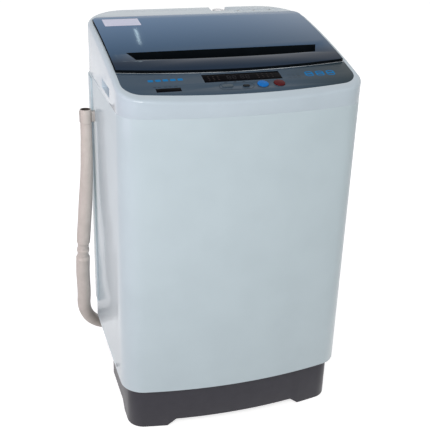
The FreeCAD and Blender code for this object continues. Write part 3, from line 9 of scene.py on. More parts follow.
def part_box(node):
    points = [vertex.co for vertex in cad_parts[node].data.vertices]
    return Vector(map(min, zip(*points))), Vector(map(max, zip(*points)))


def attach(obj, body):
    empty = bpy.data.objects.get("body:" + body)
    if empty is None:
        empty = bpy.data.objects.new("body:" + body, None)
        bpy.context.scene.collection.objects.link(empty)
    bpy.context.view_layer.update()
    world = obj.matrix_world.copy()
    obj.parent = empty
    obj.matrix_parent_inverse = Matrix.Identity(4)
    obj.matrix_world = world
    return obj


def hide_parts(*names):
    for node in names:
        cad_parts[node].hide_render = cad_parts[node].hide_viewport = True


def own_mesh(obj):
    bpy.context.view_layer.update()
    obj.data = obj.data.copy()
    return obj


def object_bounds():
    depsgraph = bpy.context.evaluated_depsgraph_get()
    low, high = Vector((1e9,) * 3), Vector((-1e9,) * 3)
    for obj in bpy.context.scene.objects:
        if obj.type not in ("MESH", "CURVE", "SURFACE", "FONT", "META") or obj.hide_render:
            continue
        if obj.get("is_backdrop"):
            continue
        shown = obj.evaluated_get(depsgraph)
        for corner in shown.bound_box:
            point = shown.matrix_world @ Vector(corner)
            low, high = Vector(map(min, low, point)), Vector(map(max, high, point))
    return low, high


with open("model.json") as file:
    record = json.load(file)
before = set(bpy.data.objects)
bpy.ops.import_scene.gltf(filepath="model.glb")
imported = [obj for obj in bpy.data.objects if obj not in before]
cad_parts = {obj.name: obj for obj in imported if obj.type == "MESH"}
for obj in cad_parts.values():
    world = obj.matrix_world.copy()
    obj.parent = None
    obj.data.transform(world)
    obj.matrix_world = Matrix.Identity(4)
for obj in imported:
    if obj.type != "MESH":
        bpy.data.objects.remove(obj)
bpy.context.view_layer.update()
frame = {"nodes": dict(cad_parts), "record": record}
nodes = frame["nodes"]

# ---- base skirt ------------------------------------------------------------------------
# One dark grey ABS moulding that carries the cabinet, with a fine matt grain from its
# mould. Its tabs stand up inside the shell and take the side screws.


def linear(code):
    """An sRGB hex colour as the linear colour that a shader takes."""
    shares = [int(code[i:i + 2], 16) / 255 for i in (0, 2, 4)]
    return [c / 12.92 if c <= 0.04045 else ((c + 0.055) / 1.055) ** 2.4 for c in shares] + [1.0]


def add(tree, kind, settings=None, **inputs):
    """Adds one shader node with its settings; inputs are values, or sockets to link."""
    node = tree.nodes.new(kind)
    for name, value in (settings or {}).items():
        setattr(node, name, value)
    for name, value in inputs.items():
        socket = node.inputs[name.replace("_", " ")]
        if isinstance(value, bpy.types.NodeSocket):
            tree.links.new(value, socket)
        else:
            socket.default_value = value
    return node


def material_of(name, **settings):
    """A new material with its tree and shader, whose own sockets take the settings."""
    material = bpy.data.materials.new(name)
    material.use_nodes = True
    shader = material.node_tree.nodes["Principled BSDF"]
    for socket, value in settings.items():
        shader.inputs[socket.replace("_", " ")].default_value = value
    return material, material.node_tree, shader


def pattern_space(tree, mm, stretch=(1, 1, 1)):
    """Object coordinates in which one unit is mm millimetres long."""
    place = add(tree, "ShaderNodeTexCoord").outputs["Object"]
    scale = [1000 / mm * share for share in stretch]
    return add(tree, "ShaderNodeMapping", Vector=place, Scale=scale).outputs[0]


def shade_between(tree, factor, low, high, start=0.35, end=0.65):
    """A colour that runs between two sRGB hex colours as a pattern rises."""
    ramp = add(tree, "ShaderNodeValToRGB", Fac=factor)
    ramp.color_ramp.elements[0].position = start
    ramp.color_ramp.elements[0].color = linear(low)
    ramp.color_ramp.elements[1].position = end
    ramp.color_ramp.elements[1].color = linear(high)
    return ramp.outputs["Color"]


def range_of(tree, factor, low, high):
    """A value that runs from low to high as a pattern rises."""
    return add(tree, "ShaderNodeMapRange", Value=factor, To_Min=low, To_Max=high).outputs[0]


GLOSS_SPREAD = 0.15


def grained(tree, shader, roughness, grain_mm, depth_mm, stretch=(1, 1, 1)):
    """Gives a finish its fine grain, in its gloss and in relief."""
    grain = add(tree, "ShaderNodeTexNoise", Vector=pattern_space(tree, grain_mm, stretch),
                Detail=2.0)
    rough = range_of(tree, grain.outputs["Fac"], roughness * (1 - GLOSS_SPREAD),
                     roughness * (1 + GLOSS_SPREAD))
    tree.links.new(rough, shader.inputs["Roughness"])
    bump = add(tree, "ShaderNodeBump", Height=grain.outputs["Fac"], Distance=depth_mm / 1000)
    tree.links.new(bump.outputs["Normal"], shader.inputs["Normal"])


def surface(name, low, high, roughness, drift_mm, grain_mm, depth_mm, stretch=(1, 1, 1),
            **settings):
    """A finish whose colour drifts slowly between two hex colours, with a fine grain."""
    material, tree, shader = material_of(name, **settings)
    drift = add(tree, "ShaderNodeTexNoise", Vector=pattern_space(tree, drift_mm), Detail=3.0)
    tree.links.new(shade_between(tree, drift.outputs["Fac"], low, high),
                   shader.inputs["Base Color"])
    grained(tree, shader, roughness, grain_mm, depth_mm, stretch)
    return material


def only(*pieces):
    """Leaves just these pieces selected, the first of them active."""
    bpy.ops.object.select_all(action="DESELECT")
    for piece in pieces:
        piece.select_set(True)
    bpy.context.view_layer.objects.active = pieces[0]


def apply_all(piece):
    """Applies the piece's modifiers, in their order."""
    only(piece)
    for modifier in list(piece.modifiers):
        bpy.ops.object.modifier_apply(modifier=modifier.name)


def ease(piece, width_mm, segments=2, angle=32):
    """Rounds the sharp edges and smooths the shading across the soft ones."""
    bevel = piece.modifiers.new("ease", "BEVEL")
    bevel.width = width_mm / 1000
    bevel.segments = segments
    bevel.limit_method = "ANGLE"
    bevel.angle_limit = radians(angle)
    apply_all(piece)
    only(piece)
    bpy.ops.object.shade_smooth_by_angle(angle=radians(angle))


def settle(piece, material, body, slot, *replaced):
    """Gives a piece its material and body, and hides the nodes that it stands for; its slot
    argument is not used.
    """
    piece.data.materials.clear()
    piece.data.materials.append(material)
    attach(piece, body)
    if replaced:
        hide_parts(*replaced)
    return piece


def joined_copy(node, name):
    """A copy of a construction solid with its triangles joined into whole faces."""
    piece = bpy.data.objects.new(name, nodes[node].data.copy())
    bpy.context.scene.collection.objects.link(piece)
    only(piece)
    bpy.ops.object.mode_set(mode="EDIT")
    bpy.ops.mesh.select_all(action="SELECT")
    bpy.ops.mesh.remove_doubles(threshold=1e-6)
    bpy.ops.mesh.dissolve_limited(angle_limit=radians(0.2))
    bpy.ops.object.mode_set(mode="OBJECT")
    return piece


def skin(node, material, width_mm=0.6, segments=2):
    """A solid with its edges eased, shown in place of its construction node."""
    piece = joined_copy(node, node + "_skin")
    ease(piece, width_mm, segments)
    return settle(piece, material, body_of[node], slot_of[node], node)


record = frame["record"]
body_of = {node: body for body, members in record["behaviour"]["bodies"].items()
           for node in members}
slot_of = {part["node"]: part["material_slot"] for part in record["subparts"]}

# Moulded with a fine spark texture: a deep, even grey with only a broad, soft sheen.
skirt_abs = surface("textured_grey_abs", "2f2e35", "323138", 0.42, 120, 1.1, 0.02, IOR=1.53,
                    Specular_IOR_Level=0.28)
skin("base_skirt", skirt_abs, 0.8)

# ---- feet ------------------------------------------------------------------------------
# Black rubber pads pushed into the bosses of the base; the right front one is on a zinc
# plated stud that screws in and out to level the machine.

# Moulded rubber: nearly black and dull, with a fine dusty bloom.
foot_rubber = surface("black_rubber", "1b1b1c", "262627", 0.8, 15, 0.5, 0.06, IOR=1.52)
skin("fixed_feet", foot_rubber, 1.2)
skin("leveling_foot", foot_rubber, 1.2)

# ---- cabinet shell ---------------------------------------------------------------------
# One sheet of 1 mm steel wrapped round front and sides, folded in at the foot, sprayed and
# baked white. The paint is glossy, with the slow ripple of orange peel.

# Sprayed and baked: a cool white under a thin clear gloss that ripples very slightly.
enamel = surface("white_baked_enamel", "b9c8ce", "bccbd1", 0.3, 400, 5.0, 0.003, IOR=1.5,
                 Specular_IOR_Level=0.35, Coat_Weight=0.25, Coat_Roughness=0.08)
skin("cabinet_shell", enamel, 0.35)

# ---- rear cover ------------------------------------------------------------------------
# The removable back: thin painted steel that wraps round both rear corners, held by four
# screws over the service window.

skin("rear_cover", enamel, 0.35)

# ---- screws ----------------------------------------------------------------------------
# Zinc plated self-tapping screws with cross recesses: two in each side, four in the rear
# cover and three in the deck plate.

HEAD_RADIUS_MM = 4.0
HEAD_TALL_MM = 1.5
RECESS_MM = (4.6, 0.9, 1.3)
# A face this near to a head's full disc is the top of a head.
NEARLY_WHOLE = 0.93

# Bright zinc plate: a pale metal with a slightly cloudy shine.
zinc = surface("zinc_plate", "a9abad", "c2c4c5", 0.32, 3, 0.2, 0.004, Metallic=1.0)
flat = joined_copy("case_screws", "screw_places")
disc = pi * (HEAD_RADIUS_MM / 1000) ** 2
places = [(face.center.copy(), face.normal.copy()) for face in flat.data.polygons
          if face.area > NEARLY_WHOLE * disc]
bpy.data.objects.remove(flat)

bpy.ops.mesh.primitive_cylinder_add(vertices=24, radius=HEAD_RADIUS_MM / 1000,
                                    depth=HEAD_TALL_MM / 1000,
                                    location=(0, 0, -HEAD_TALL_MM / 2000))
pattern = bpy.context.object
only(pattern)
bpy.ops.object.transform_apply()
ease(pattern, 0.6, 3, 60)
for turn in (0, pi / 2):
    bpy.ops.mesh.primitive_cube_add(size=1)
    bar = bpy.context.object
    bar.scale = [share / 1000 for share in RECESS_MM]
    bar.rotation_euler.z = turn
    only(bar)
    bpy.ops.object.transform_apply()
    cut = pattern.modifiers.new("cross", "BOOLEAN")
    cut.object = bar
    cut.solver = "EXACT"
    apply_all(pattern)
    bpy.data.objects.remove(bar)
screws = []
for number, (spot, facing) in enumerate(places):
    piece = bpy.data.objects.new("screw_%d" % number, pattern.data.copy())
    bpy.context.scene.collection.objects.link(piece)
    turn = facing.to_track_quat("Z", "Y").to_matrix().to_4x4()
    piece.data.transform(Matrix.Translation(spot) @ turn)
    screws.append(piece)
bpy.data.objects.remove(pattern)
only(*screws)
bpy.ops.object.join()
screw_set = bpy.context.object
screw_set.name = "screw_heads"
settle(screw_set, zinc, "cabinet", "screw_steel", "case_screws")

# ---- cable gland -----------------------------------------------------------------------
# The black rubber grommet that is pressed into the rear wall, where the mains lead leaves
# the machine.

skin("cable_gland", foot_rubber, 0.8)

# ---- tub -------------------------------------------------------------------------------
# A ribbed polypropylene tub in its natural milky colour, closed by a ring at the top. It
# hangs in the cabinet and holds the water.

# Moulded without pigment: milky and a little translucent, with a waxy surface.
natural_pp = surface("natural_polypropylene", "d9d8ce", "e3e2d9", 0.42, 90, 2.0, 0.02,
                     IOR=1.49, Subsurface_Weight=0.15, Subsurface_Scale=0.004)
for node in ("outer_tub", "tub_ring"):
    skin(node, natural_pp, 0.8)
skin("shaft_seal", foot_rubber, 0.5)

# ---- wash basket -----------------------------------------------------------------------
# A drum of stainless sheet, punched all over with small drain holes and brushed round its
# girth. It is crimped to a moulded base that the spin shaft drives.

HOLE_COLUMNS = 60
HOLE_ROWS = 20
HOLE_SHARE = 0.26
SHEET_MM = 1.0

# Brushed round the drum: highlights stretch into bands. The brush marks are drawn at 1.5 mm,
# coarser than the real ones, which would not show.
brushed = surface("brushed_stainless", "b3b5b7", "c2c4c5", 0.3, 60, 1.5, 0.006, (1, 1, 30),
                  Metallic=1.0)
low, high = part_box("wash_basket")
radius = (high.x - low.x) / 2
half = radius * sin(pi / HOLE_COLUMNS)
tall = high.z - low.z
bpy.ops.mesh.primitive_grid_add(x_subdivisions=1, y_subdivisions=HOLE_ROWS, size=2)
wall = bpy.context.object
wall.name = "basket_wall"
wall.data.transform(Matrix.Translation((0, radius * cos(pi / HOLE_COLUMNS), low.z + tall / 2))
                    @ Matrix.Rotation(pi / 2, 4, "X") @ Matrix.Diagonal((half, tall / 2, 1, 1)))
only(wall)
bpy.ops.object.mode_set(mode="EDIT")
bpy.ops.mesh.select_all(action="SELECT")
bpy.ops.mesh.inset(thickness=half * (1 - HOLE_SHARE), use_individual=True)
bpy.ops.mesh.bevel(offset=half * HOLE_SHARE * 0.5, affect="VERTICES")
bpy.ops.mesh.select_all(action="DESELECT")
bpy.ops.object.mode_set(mode="OBJECT")
for face in wall.data.polygons:
    face.select = len(face.vertices) == 8
bpy.ops.object.mode_set(mode="EDIT")
bpy.ops.mesh.delete(type="FACE")
bpy.ops.mesh.select_all(action="SELECT")
bpy.ops.mesh.spin(steps=HOLE_COLUMNS - 1, dupli=True, angle=2 * pi * (1 - 1 / HOLE_COLUMNS),
                  center=(0, 0, 0), axis=(0, 0, 1))
bpy.ops.mesh.select_all(action="SELECT")
bpy.ops.mesh.remove_doubles(threshold=1e-5)
bpy.ops.mesh.normals_make_consistent(inside=False)
bpy.ops.object.mode_set(mode="OBJECT")
sheet = wall.modifiers.new("sheet", "SOLIDIFY")
sheet.thickness = SHEET_MM / 1000
sheet.offset = -1
apply_all(wall)
bpy.ops.object.shade_smooth_by_angle(angle=radians(30))
settle(wall, brushed, "basket_body", "stainless", "wash_basket")

# Moulded with pigment: a pale grey with a half matt, slightly waxy surface.
basket_pp = surface("grey_polypropylene", "c3c6c9", "cdd0d3", 0.38, 80, 1.2, 0.02, IOR=1.49)
skin("basket_base", basket_pp, 1.5)

# ---- balance ring and lint filter ------------------------------------------------------
# A hollow moulded ring filled with salt water steadies the drum. The filter is a frame with
# a nylon net that clips to the wall.

skin("balance_ring", basket_pp, 1.2, 3)
# Woven nylon: blue cells between pale threads. A cell is half a unit of 3 mm, about twice
# the real mesh, so that it shows.
net, tree, shader = material_of("nylon_net", Roughness=0.6, IOR=1.53)
weave = add(tree, "ShaderNodeTexBrick", {"offset": 0.0}, Vector=pattern_space(tree, 3),
            Color1=linear("35566f"), Color2=linear("3c5f79"), Mortar=linear("8da4b4"),
            Scale=1.0, Mortar_Size=0.14, Brick_Width=0.5, Row_Height=0.5)
tree.links.new(weave.outputs["Color"], shader.inputs["Base Color"])
relief = add(tree, "ShaderNodeBump", Height=weave.outputs["Fac"], Distance=0.0003)
tree.links.new(relief.outputs["Normal"], shader.inputs["Normal"])
skin("lint_filter", net, 1.0)

# ---- pulsator and shafts ---------------------------------------------------------------
# A dished polypropylene disc with six swept vanes, screwed on the wash shaft, which runs in
# the hollow spin shaft.

# Turned on a lathe: bright steel with fine marks round its girth.
shaft_steel = surface("turned_steel", "8f9193", "a3a5a6", 0.25, 20, 0.4, 0.003, (1, 1, 12),
                      Metallic=1.0)
# Moulded and polished: pale blue with a soft gloss, so that no laundry catches.
pulsator_pp = surface("pale_blue_polypropylene", "b7c4cf", "c1ccd6", 0.32, 70, 1.0, 0.015,
                      IOR=1.49)
skin("pulsator", pulsator_pp, 3.0, 3)
for node in ("pulsator_screw", "wash_shaft", "spin_shaft", "motor_shaft"):
    skin(node, shaft_steel, 0.5)

# ---- drive -----------------------------------------------------------------------------
# Under the tub a steel carrier holds the cast clutch housing and the motor; a belt joins
# their pulleys.

# Galvanised sheet: cool grey with cloudy patches of a centimetre or two.
plated = surface("galvanised_steel", "989c9f", "b0b3b5", 0.36, 14, 0.8, 0.005, Metallic=1.0)
# Die cast and left raw: a dull grey metal with a sandy skin.
cast = surface("cast_aluminium", "90928f", "9fa19e", 0.5, 10, 0.6, 0.06, Metallic=1.0)
# Dipped in black enamel: dark, half gloss, a little uneven.
motor_paint = surface("black_motor_paint", "222325", "2b2c2e", 0.42, 30, 0.9, 0.03, IOR=1.5)
skin("tub_carrier", plated, 0.8)
skin("clutch_housing", cast, 2.0, 3)
skin("bearings", shaft_steel, 0.5)
skin("motor", motor_paint, 3.0, 3)
for node in ("motor_pulley", "clutch_pulley"):
    skin(node, cast, 0.6)
skin("drive_belt", foot_rubber, 0.8)

# ---- drain -----------------------------------------------------------------------------
# A moulded valve under the tub, pulled open by an actuator through a rod, empties through
# a rubber sleeve to the elbow in the base.

# Moulded with carbon black: dark and half matt, with a faint grain.
black_pp = surface("black_polypropylene", "1d1e20", "27282a", 0.45, 40, 0.8, 0.03, IOR=1.49)
skin("drain_valve", basket_pp, 1.0)
skin("drain_rod", plated, 0.5)
skin("drain_actuator", black_pp, 1.5)
skin("sump_hose", foot_rubber, 0.8)
skin("drain_outlet", black_pp, 0.8)

# ---- suspension ------------------------------------------------------------------------
# Four steel rods hang from brackets in the corners; the tub rests through its damper cups
# on coiled springs at their lower ends, which shorten as it sinks.

for node in ("hanger_brackets", "suspension_rods"):
    skin(node, plated, 0.4)
for node in ("rod_seats", "damper_cups"):
    skin(node, black_pp, 0.8)
springs = joined_copy("suspension_springs", "suspension_springs_skin")
bpy.ops.object.shade_smooth_by_angle(angle=radians(60))
settle(springs, plated, "cabinet", slot_of["suspension_springs"], "suspension_springs")
low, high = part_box("suspension_springs")
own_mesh(springs)

# ---- top cover -------------------------------------------------------------------------
# One glossy white ABS moulding that caps the cabinet: its rim, the recess for lid and
# panel, the loading mouth, the side grips and the rear deck with its screwed plate.

# Moulded in a polished tool: the same cool white as the cabinet, but glossier and smoother.
cover_abs = surface("gloss_white_abs", "b9c7d0", "bccad3", 0.18, 300, 6.0, 0.003, IOR=1.53,
                    Specular_IOR_Level=0.35, Coat_Weight=0.2, Coat_Roughness=0.06)
skin("top_cover", cover_abs, 0.5)
skin("deck_cover", cover_abs, 0.4)

# ---- water inlet -----------------------------------------------------------------------
# The valve's moulded nipple stands in the notch, with a pipe thread for the supply hose and
# a strainer in its mouth.

THREAD_TURNS = 5
THREAD_PITCH_MM = 2.2
THREAD_ROUND_MM = 0.7
THREAD_START_MM = 3.76

# Moulded: a pale, neutral plastic with a soft sheen.
pale_pp = surface("pale_polypropylene", "bfc0c4", "c9cacd", 0.36, 30, 0.7, 0.015, IOR=1.49)
skin("water_valve", pale_pp, 0.5)
skin("inlet_strainer", basket_pp, 0.3)
mount = next(m for m in record["mounts"] if m["name"] == "water_inlet")
turns = []
for k in range(THREAD_TURNS):
    rise = (THREAD_START_MM + THREAD_PITCH_MM * k) / 1000
    place = Vector(mount["pos_m"]) + Vector((0, 0, rise))
    bpy.ops.mesh.primitive_torus_add(major_segments=48, minor_segments=8, location=place,
                                     major_radius=mount["dims"]["r_mm"] / 1000,
                                     minor_radius=THREAD_ROUND_MM / 1000)
    turns.append(bpy.context.object)
only(*turns)
bpy.ops.object.join()
bpy.ops.object.transform_apply()
bpy.ops.object.shade_smooth()
turns[0].name = "inlet_thread"
settle(turns[0], pale_pp, "cabinet", "pale_plastic")

# ---- detergent drawer ------------------------------------------------------------------
# A white ABS tray that slides out of the rear wall of the mouth, in a moulded housing under
# the deck. The pressure switch hangs under the deck's screwed plate.

# Moulded in a polished tool: a plain glossy white.
tray_abs = surface("white_tray_abs", "d6dade", "dee2e5", 0.22, 60, 1.5, 0.01, IOR=1.53)
skin("detergent_drawer", tray_abs, 0.6)
skin("dispenser_housing", basket_pp, 0.5)
skin("pressure_switch", black_pp, 1.0)

# ---- lid -------------------------------------------------------------------------------
# One smoke tinted ABS moulding with a wide finger recess, polished outside. It swings on two
# pins at the rear; a magnet under its front corner works the safety switch. A blank film
# label is stuck on its left rear corner.

LABEL_MM = (-225.0, -145.0, 102.0, 144.0)
LABEL_CORNER_MM = 1.5
LABEL_LIFT_MM = 0.15
RECESS_DEEP_MM = 3.0
# Room round the opening of the recess: in front and at the sides, and behind.
RECESS_ROOM_MM = (20.0, 3.0)
EDGE_SLOPE = 0.45
UNDERSIDE_SLOPE = -0.5
# The lid's colours at places along Y: the smoke tint, painted lighter towards the rear as a
# painted reflection.
SMOKE_AND_PAINTED_REFLECTION_MM = ((-78.0, "172a3e"), (-38.0, "30506e"), (140.0, "587a9d"))


def top_of(*names):
    """A search tree over the surfaces of some nodes."""
    points, faces = [], []
    for name in names:
        start = len(points)
        points += [vertex.co.copy() for vertex in nodes[name].data.vertices]
        faces += [[start + i for i in face.vertices] for face in nodes[name].data.polygons]
    return BVHTree.FromPolygons(points, faces)


def surface_under(tree, x, y):
    """Where a line straight down meets the surfaces of a search tree."""
    return tree.ray_cast(Vector((x, y, 1)), Vector((0, 0, -1)))[0]


def graded(tree, shader, axis, painted_stops_mm):
    """Runs the colour along an axis through sRGB hex colours at places in millimetres: a
    painted reflection.
    """
    start, length = painted_stops_mm[0][0], painted_stops_mm[-1][0] - painted_stops_mm[0][0]
    place = add(tree, "ShaderNodeSeparateXYZ", Vector=pattern_space(tree, 1))
    share = add(tree, "ShaderNodeMapRange", Value=place.outputs[axis], From_Min=start,
                From_Max=start + length)
    ramp = add(tree, "ShaderNodeValToRGB", Fac=share.outputs[0])
    stops = ramp.color_ramp.elements
    for _ in painted_stops_mm[2:]:
        stops.new(0.5)
    for stop, (at, code) in zip(stops, painted_stops_mm):
        stop.position = (at - start) / length
        stop.color = linear(code)
    tree.links.new(ramp.outputs["Color"], shader.inputs["Base Color"])


# Moulded with smoke dye and polished: it mirrors. Its colour is painted lighter towards the
# rear and darker towards the front, a painted reflection.
smoke, tree, shader = material_of("smoke_tinted_abs", Roughness=0.07, IOR=1.55,
                                  Specular_IOR_Level=0.07)
graded(tree, shader, "Y", SMOKE_AND_PAINTED_REFLECTION_MM)
# Painted shade: the same moulding with a spark texture, black and dull, put in the recess and
# on the edges where shade falls.
painted_shade_smoke = surface("painted_shade_smoke_abs", "03070b", "050a0f", 0.5, 90, 1.2, 0.005, IOR=1.5,
                     Specular_IOR_Level=0.03)
lid = skin("lid", smoke, 0.9)
lid.data.materials.append(painted_shade_smoke)
lid_top = top_of("lid")
side_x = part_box("lid")[1].x - RECESS_ROOM_MM[0] / 1000
finger = next(space["box_m"] for space in record["physics"]["openings"]
              if space["name"] == "lid_grip")
front_y = finger[0][1] - RECESS_ROOM_MM[0] / 1000
rear_y = finger[1][1] + RECESS_ROOM_MM[1] / 1000
front = surface_under(lid_top, side_x, front_y)
rear = surface_under(lid_top, side_x, rear_y)
# Faces on the edges and deep in the recess take the painted shade.
for face in lid.data.polygons:
    spot = face.center
    if abs(face.normal.z) < EDGE_SLOPE:
        face.material_index = 1
    if front_y < spot.y < rear_y and abs(spot.x) < side_x and face.normal.z > UNDERSIDE_SLOPE:
        level = front.z + (rear.z - front.z) * (spot.y - front_y) / (rear_y - front_y)
        if level - RECESS_DEEP_MM / 1000 > spot.z:
            face.material_index = 1
# Pressed and sintered: a charcoal grey ceramic, dry and dull.
ferrite = surface("ferrite", "2e2e30", "38383a", 0.6, 6, 0.4, 0.02, IOR=2.0)
skin("lid_magnet", ferrite, 0.3)
skin("reed_switch", black_pp, 0.4)


def laid_shape(name, loops, lift_mm, tree):
    """A flat shape, given by outlines in millimetres, laid on the surface below it."""
    curve = bpy.data.curves.new(name, "CURVE")
    curve.dimensions = "2D"
    curve.fill_mode = "BOTH"
    for loop in loops:
        spline = curve.splines.new("POLY")
        spline.points.add(len(loop) - 1)
        for control, (x, y) in zip(spline.points, loop):
            control.co = (x / 1000, y / 1000, 0, 1)
        spline.use_cyclic_u = True
    piece = bpy.data.objects.new(name, curve)
    bpy.context.scene.collection.objects.link(piece)
    only(piece)
    bpy.ops.object.convert(target="MESH")
    piece = bpy.context.object
    bpy.ops.object.mode_set(mode="EDIT")
    bpy.ops.mesh.select_all(action="SELECT")
    bpy.ops.mesh.subdivide(number_cuts=2)
    bpy.ops.object.mode_set(mode="OBJECT")
    for vertex in piece.data.vertices:
        vertex.co.z = surface_under(tree, vertex.co.x, vertex.co.y).z + lift_mm / 1000
    return piece


def rounded(x_low, x_high, y_low, y_high, corner, steps=5):
    """The outline of a rectangle with round corners."""
    centres = ((x_high - corner, y_high - corner), (x_low + corner, y_high - corner),
               (x_low + corner, y_low + corner), (x_high - corner, y_low + corner))
    turns = [(centre, radians(90 * (k + step / steps)))
             for k, centre in enumerate(centres) for step in range(steps + 1)]
    return [(x + corner * cos(turn), y + corner * sin(turn)) for (x, y), turn in turns]


# Coated film: a flat, faintly violet white with little gloss.
label_film = surface("white_label_film", "cfd2e6", "d3d6ea", 0.35, 40, 0.8, 0.002, IOR=1.45,
                     Specular_IOR_Level=0.3)
label = laid_shape("blank_label", [rounded(*LABEL_MM, LABEL_CORNER_MM)], LABEL_LIFT_MM, lid_top)
settle(label, label_film, "lid_body", "smoke_lid")

# ---- control panel ---------------------------------------------------------------------
# A grey fascia with a fine metallic paint, a bright strip along its bowed rear edge, two
# black windows and a few printed marks: dashes, dots, an oval and unlit digits.

# The panel's colours at places along X: painted darker towards the right end, a painted
# reflection.
PANEL_PAINTED_REFLECTION_MM = ((80.0, "3a4c5c"), (235.0, "22343c"))
PRINT_LIFT_MM = 0.12
DIGIT_MM = (6.5, 12.0, 1.4)
DIGIT_X_MM = (-24.0, -13.0, 4.0, 15.0)
DIGIT_Y_MM = -147.0
# Marks in rows: name, ink, slot, size of one mark, and the places along X and Y.
ROWS_MM = (
    ("unlit_lamps", "2a2323", "window_black", (3.4, 2.0),
     (-66.0, -56.0, -46.0, 38.0, 48.0, 58.0, 68.0), (-153.0, -147.0, -141.0)),
    ("status_dashes", "2c3238", "panel_grey", (6.0, 1.8),
     (-181.0, -172.0, -160.0, -151.0, -139.0), (-168.5,)),
    ("program_dashes", "3c464e", "panel_grey", (6.5, 1.6),
     (103.0, 113.0, 123.0), (-148.0, -154.0, -160.0)),
    ("button_dashes", "20262c", "panel_grey", (6.0, 1.6),
     (-36.0, -17.0, 2.0), (-164.5,)))
OVAL_MM = (-54.0, 18.0, -191.0, -168.0)
OVAL_CORNER_MM = 11.4
OVAL_LINE_MM = 0.8
# A frame with two bars in it, three times, and a row of plain bars: Y, width and depth.
FRAME_MM = ((-150.0, 18.0, 18.0), (-146.0, 11.0, 4.0), (-154.5, 11.0, 4.0))
FRAME_X_MM = (148.0, 172.0, 196.0)
BLUE_BAR_MM = (-145.0, 11.0, 8.0)
BLUE_BAR_X_MM = (-184.0, -169.0, -154.0, -139.0, -124.0)
CORNER_SHARE = 0.3

# Sprayed with fine metal flakes: a satin blue grey, painted darker towards the right end as a
# painted dark reflection.
# The flakes are drawn at 0.5 mm, coarser than real ones, so that they show.
panel_paint, tree, shader = material_of("grey_metallic_paint", IOR=1.5,
                                        Specular_IOR_Level=0.12)
graded(tree, shader, "X", PANEL_PAINTED_REFLECTION_MM)
grained(tree, shader, 0.3, 0.5, 0.004)
skin("control_panel", panel_paint, 0.5)
# Hot stamped foil: a bright silver line with fine marks across it.
foil = surface("bright_trim_foil", "b4bac0", "c2c8cd", 0.22, 40, 0.5, 0.004, (1, 14, 1),
               Metallic=0.9)
skin("panel_trim", foil, 0.3)
# Cast acrylic, printed black behind: smooth and almost without colour.
window = surface("black_window_acrylic", "050508", "07070b", 0.12, 60, 3.0, 0.002, IOR=1.49,
                 Specular_IOR_Level=0.01)
for node in ("display_window", "status_window"):
    skin(node, window, 0.3)
# Lacquered laminate: dark green with the copper tracks as a faint relief.
board_green = surface("green_circuit_board", "1e4f37", "26603f", 0.45, 8, 0.6, 0.05, IOR=1.5)
skin("control_board", board_green, 0.4)
fascia = top_of("control_panel", "display_window", "status_window")


def bar(x, y, wide, deep):
    """The outline of one printed mark, round at its corners."""
    return rounded(x - wide / 2, x + wide / 2, y - deep / 2, y + deep / 2,
                   min(wide, deep) * CORNER_SHARE)


def printed(name, loops, code, slot):
    """Screen printed ink in one colour: a thin matt film on the fascia and its windows."""
    ink = surface(name + "_ink", code, code, 0.4, 20, 0.4, 0.002, IOR=1.5,
                  Specular_IOR_Level=0.05)
    mark = laid_shape(name, loops, PRINT_LIFT_MM, fascia)
    return settle(mark, ink, "cabinet", slot)


wide, tall, line = DIGIT_MM
segments = []
for x in DIGIT_X_MM:
    for rise in (-1, 0, 1):
        segments.append(bar(x, DIGIT_Y_MM + rise * tall / 2, wide - line, line))
    for side in (-1, 1):
        for rise in (-1, 1):
            segments.append(bar(x + side * wide / 2, DIGIT_Y_MM + rise * tall / 4, line,
                                tall / 2 - line))
printed("unlit_digits", segments, "1a1b20", "window_black")
for name, code, slot, (wide, deep), along_x, along_y in ROWS_MM:
    printed(name, [bar(x, y, wide, deep) for x in along_x for y in along_y], code, slot)
inner = [edge + OVAL_LINE_MM * inwards for edge, inwards in zip(OVAL_MM, (1, -1, 1, -1))]
printed("button_oval", [rounded(*OVAL_MM, OVAL_CORNER_MM, 8),
                        rounded(*inner, OVAL_CORNER_MM - OVAL_LINE_MM, 8)],
        "2b333a", "panel_grey")
blue_marks = [bar(x, *shape) for x in FRAME_X_MM for shape in FRAME_MM]
blue_marks += [bar(x, *BLUE_BAR_MM) for x in BLUE_BAR_X_MM]
printed("blue_marks", blue_marks, "0a72ae", "panel_grey")

# ---- buttons ---------------------------------------------------------------------------
# Four moulded keys that stand through the fascia: a blue and a red one in thin black rings,
# an oval dark one and a grey one. Each has a rounded rim and plays on its switch.

RING_RADIUS_MM = 12.2
RING_ROUND_MM = 0.35
BUTTON_PROUD_MM = 1.5
RINGED = ("start_button", "power_button")

key_plastic = {
    "start_button": ("0468b6", "076dbc"), "power_button": ("4c030a", "52050c"),
    "program_button": ("16191c", "1c2023"), "level_button": ("4b565e", "535f68")}
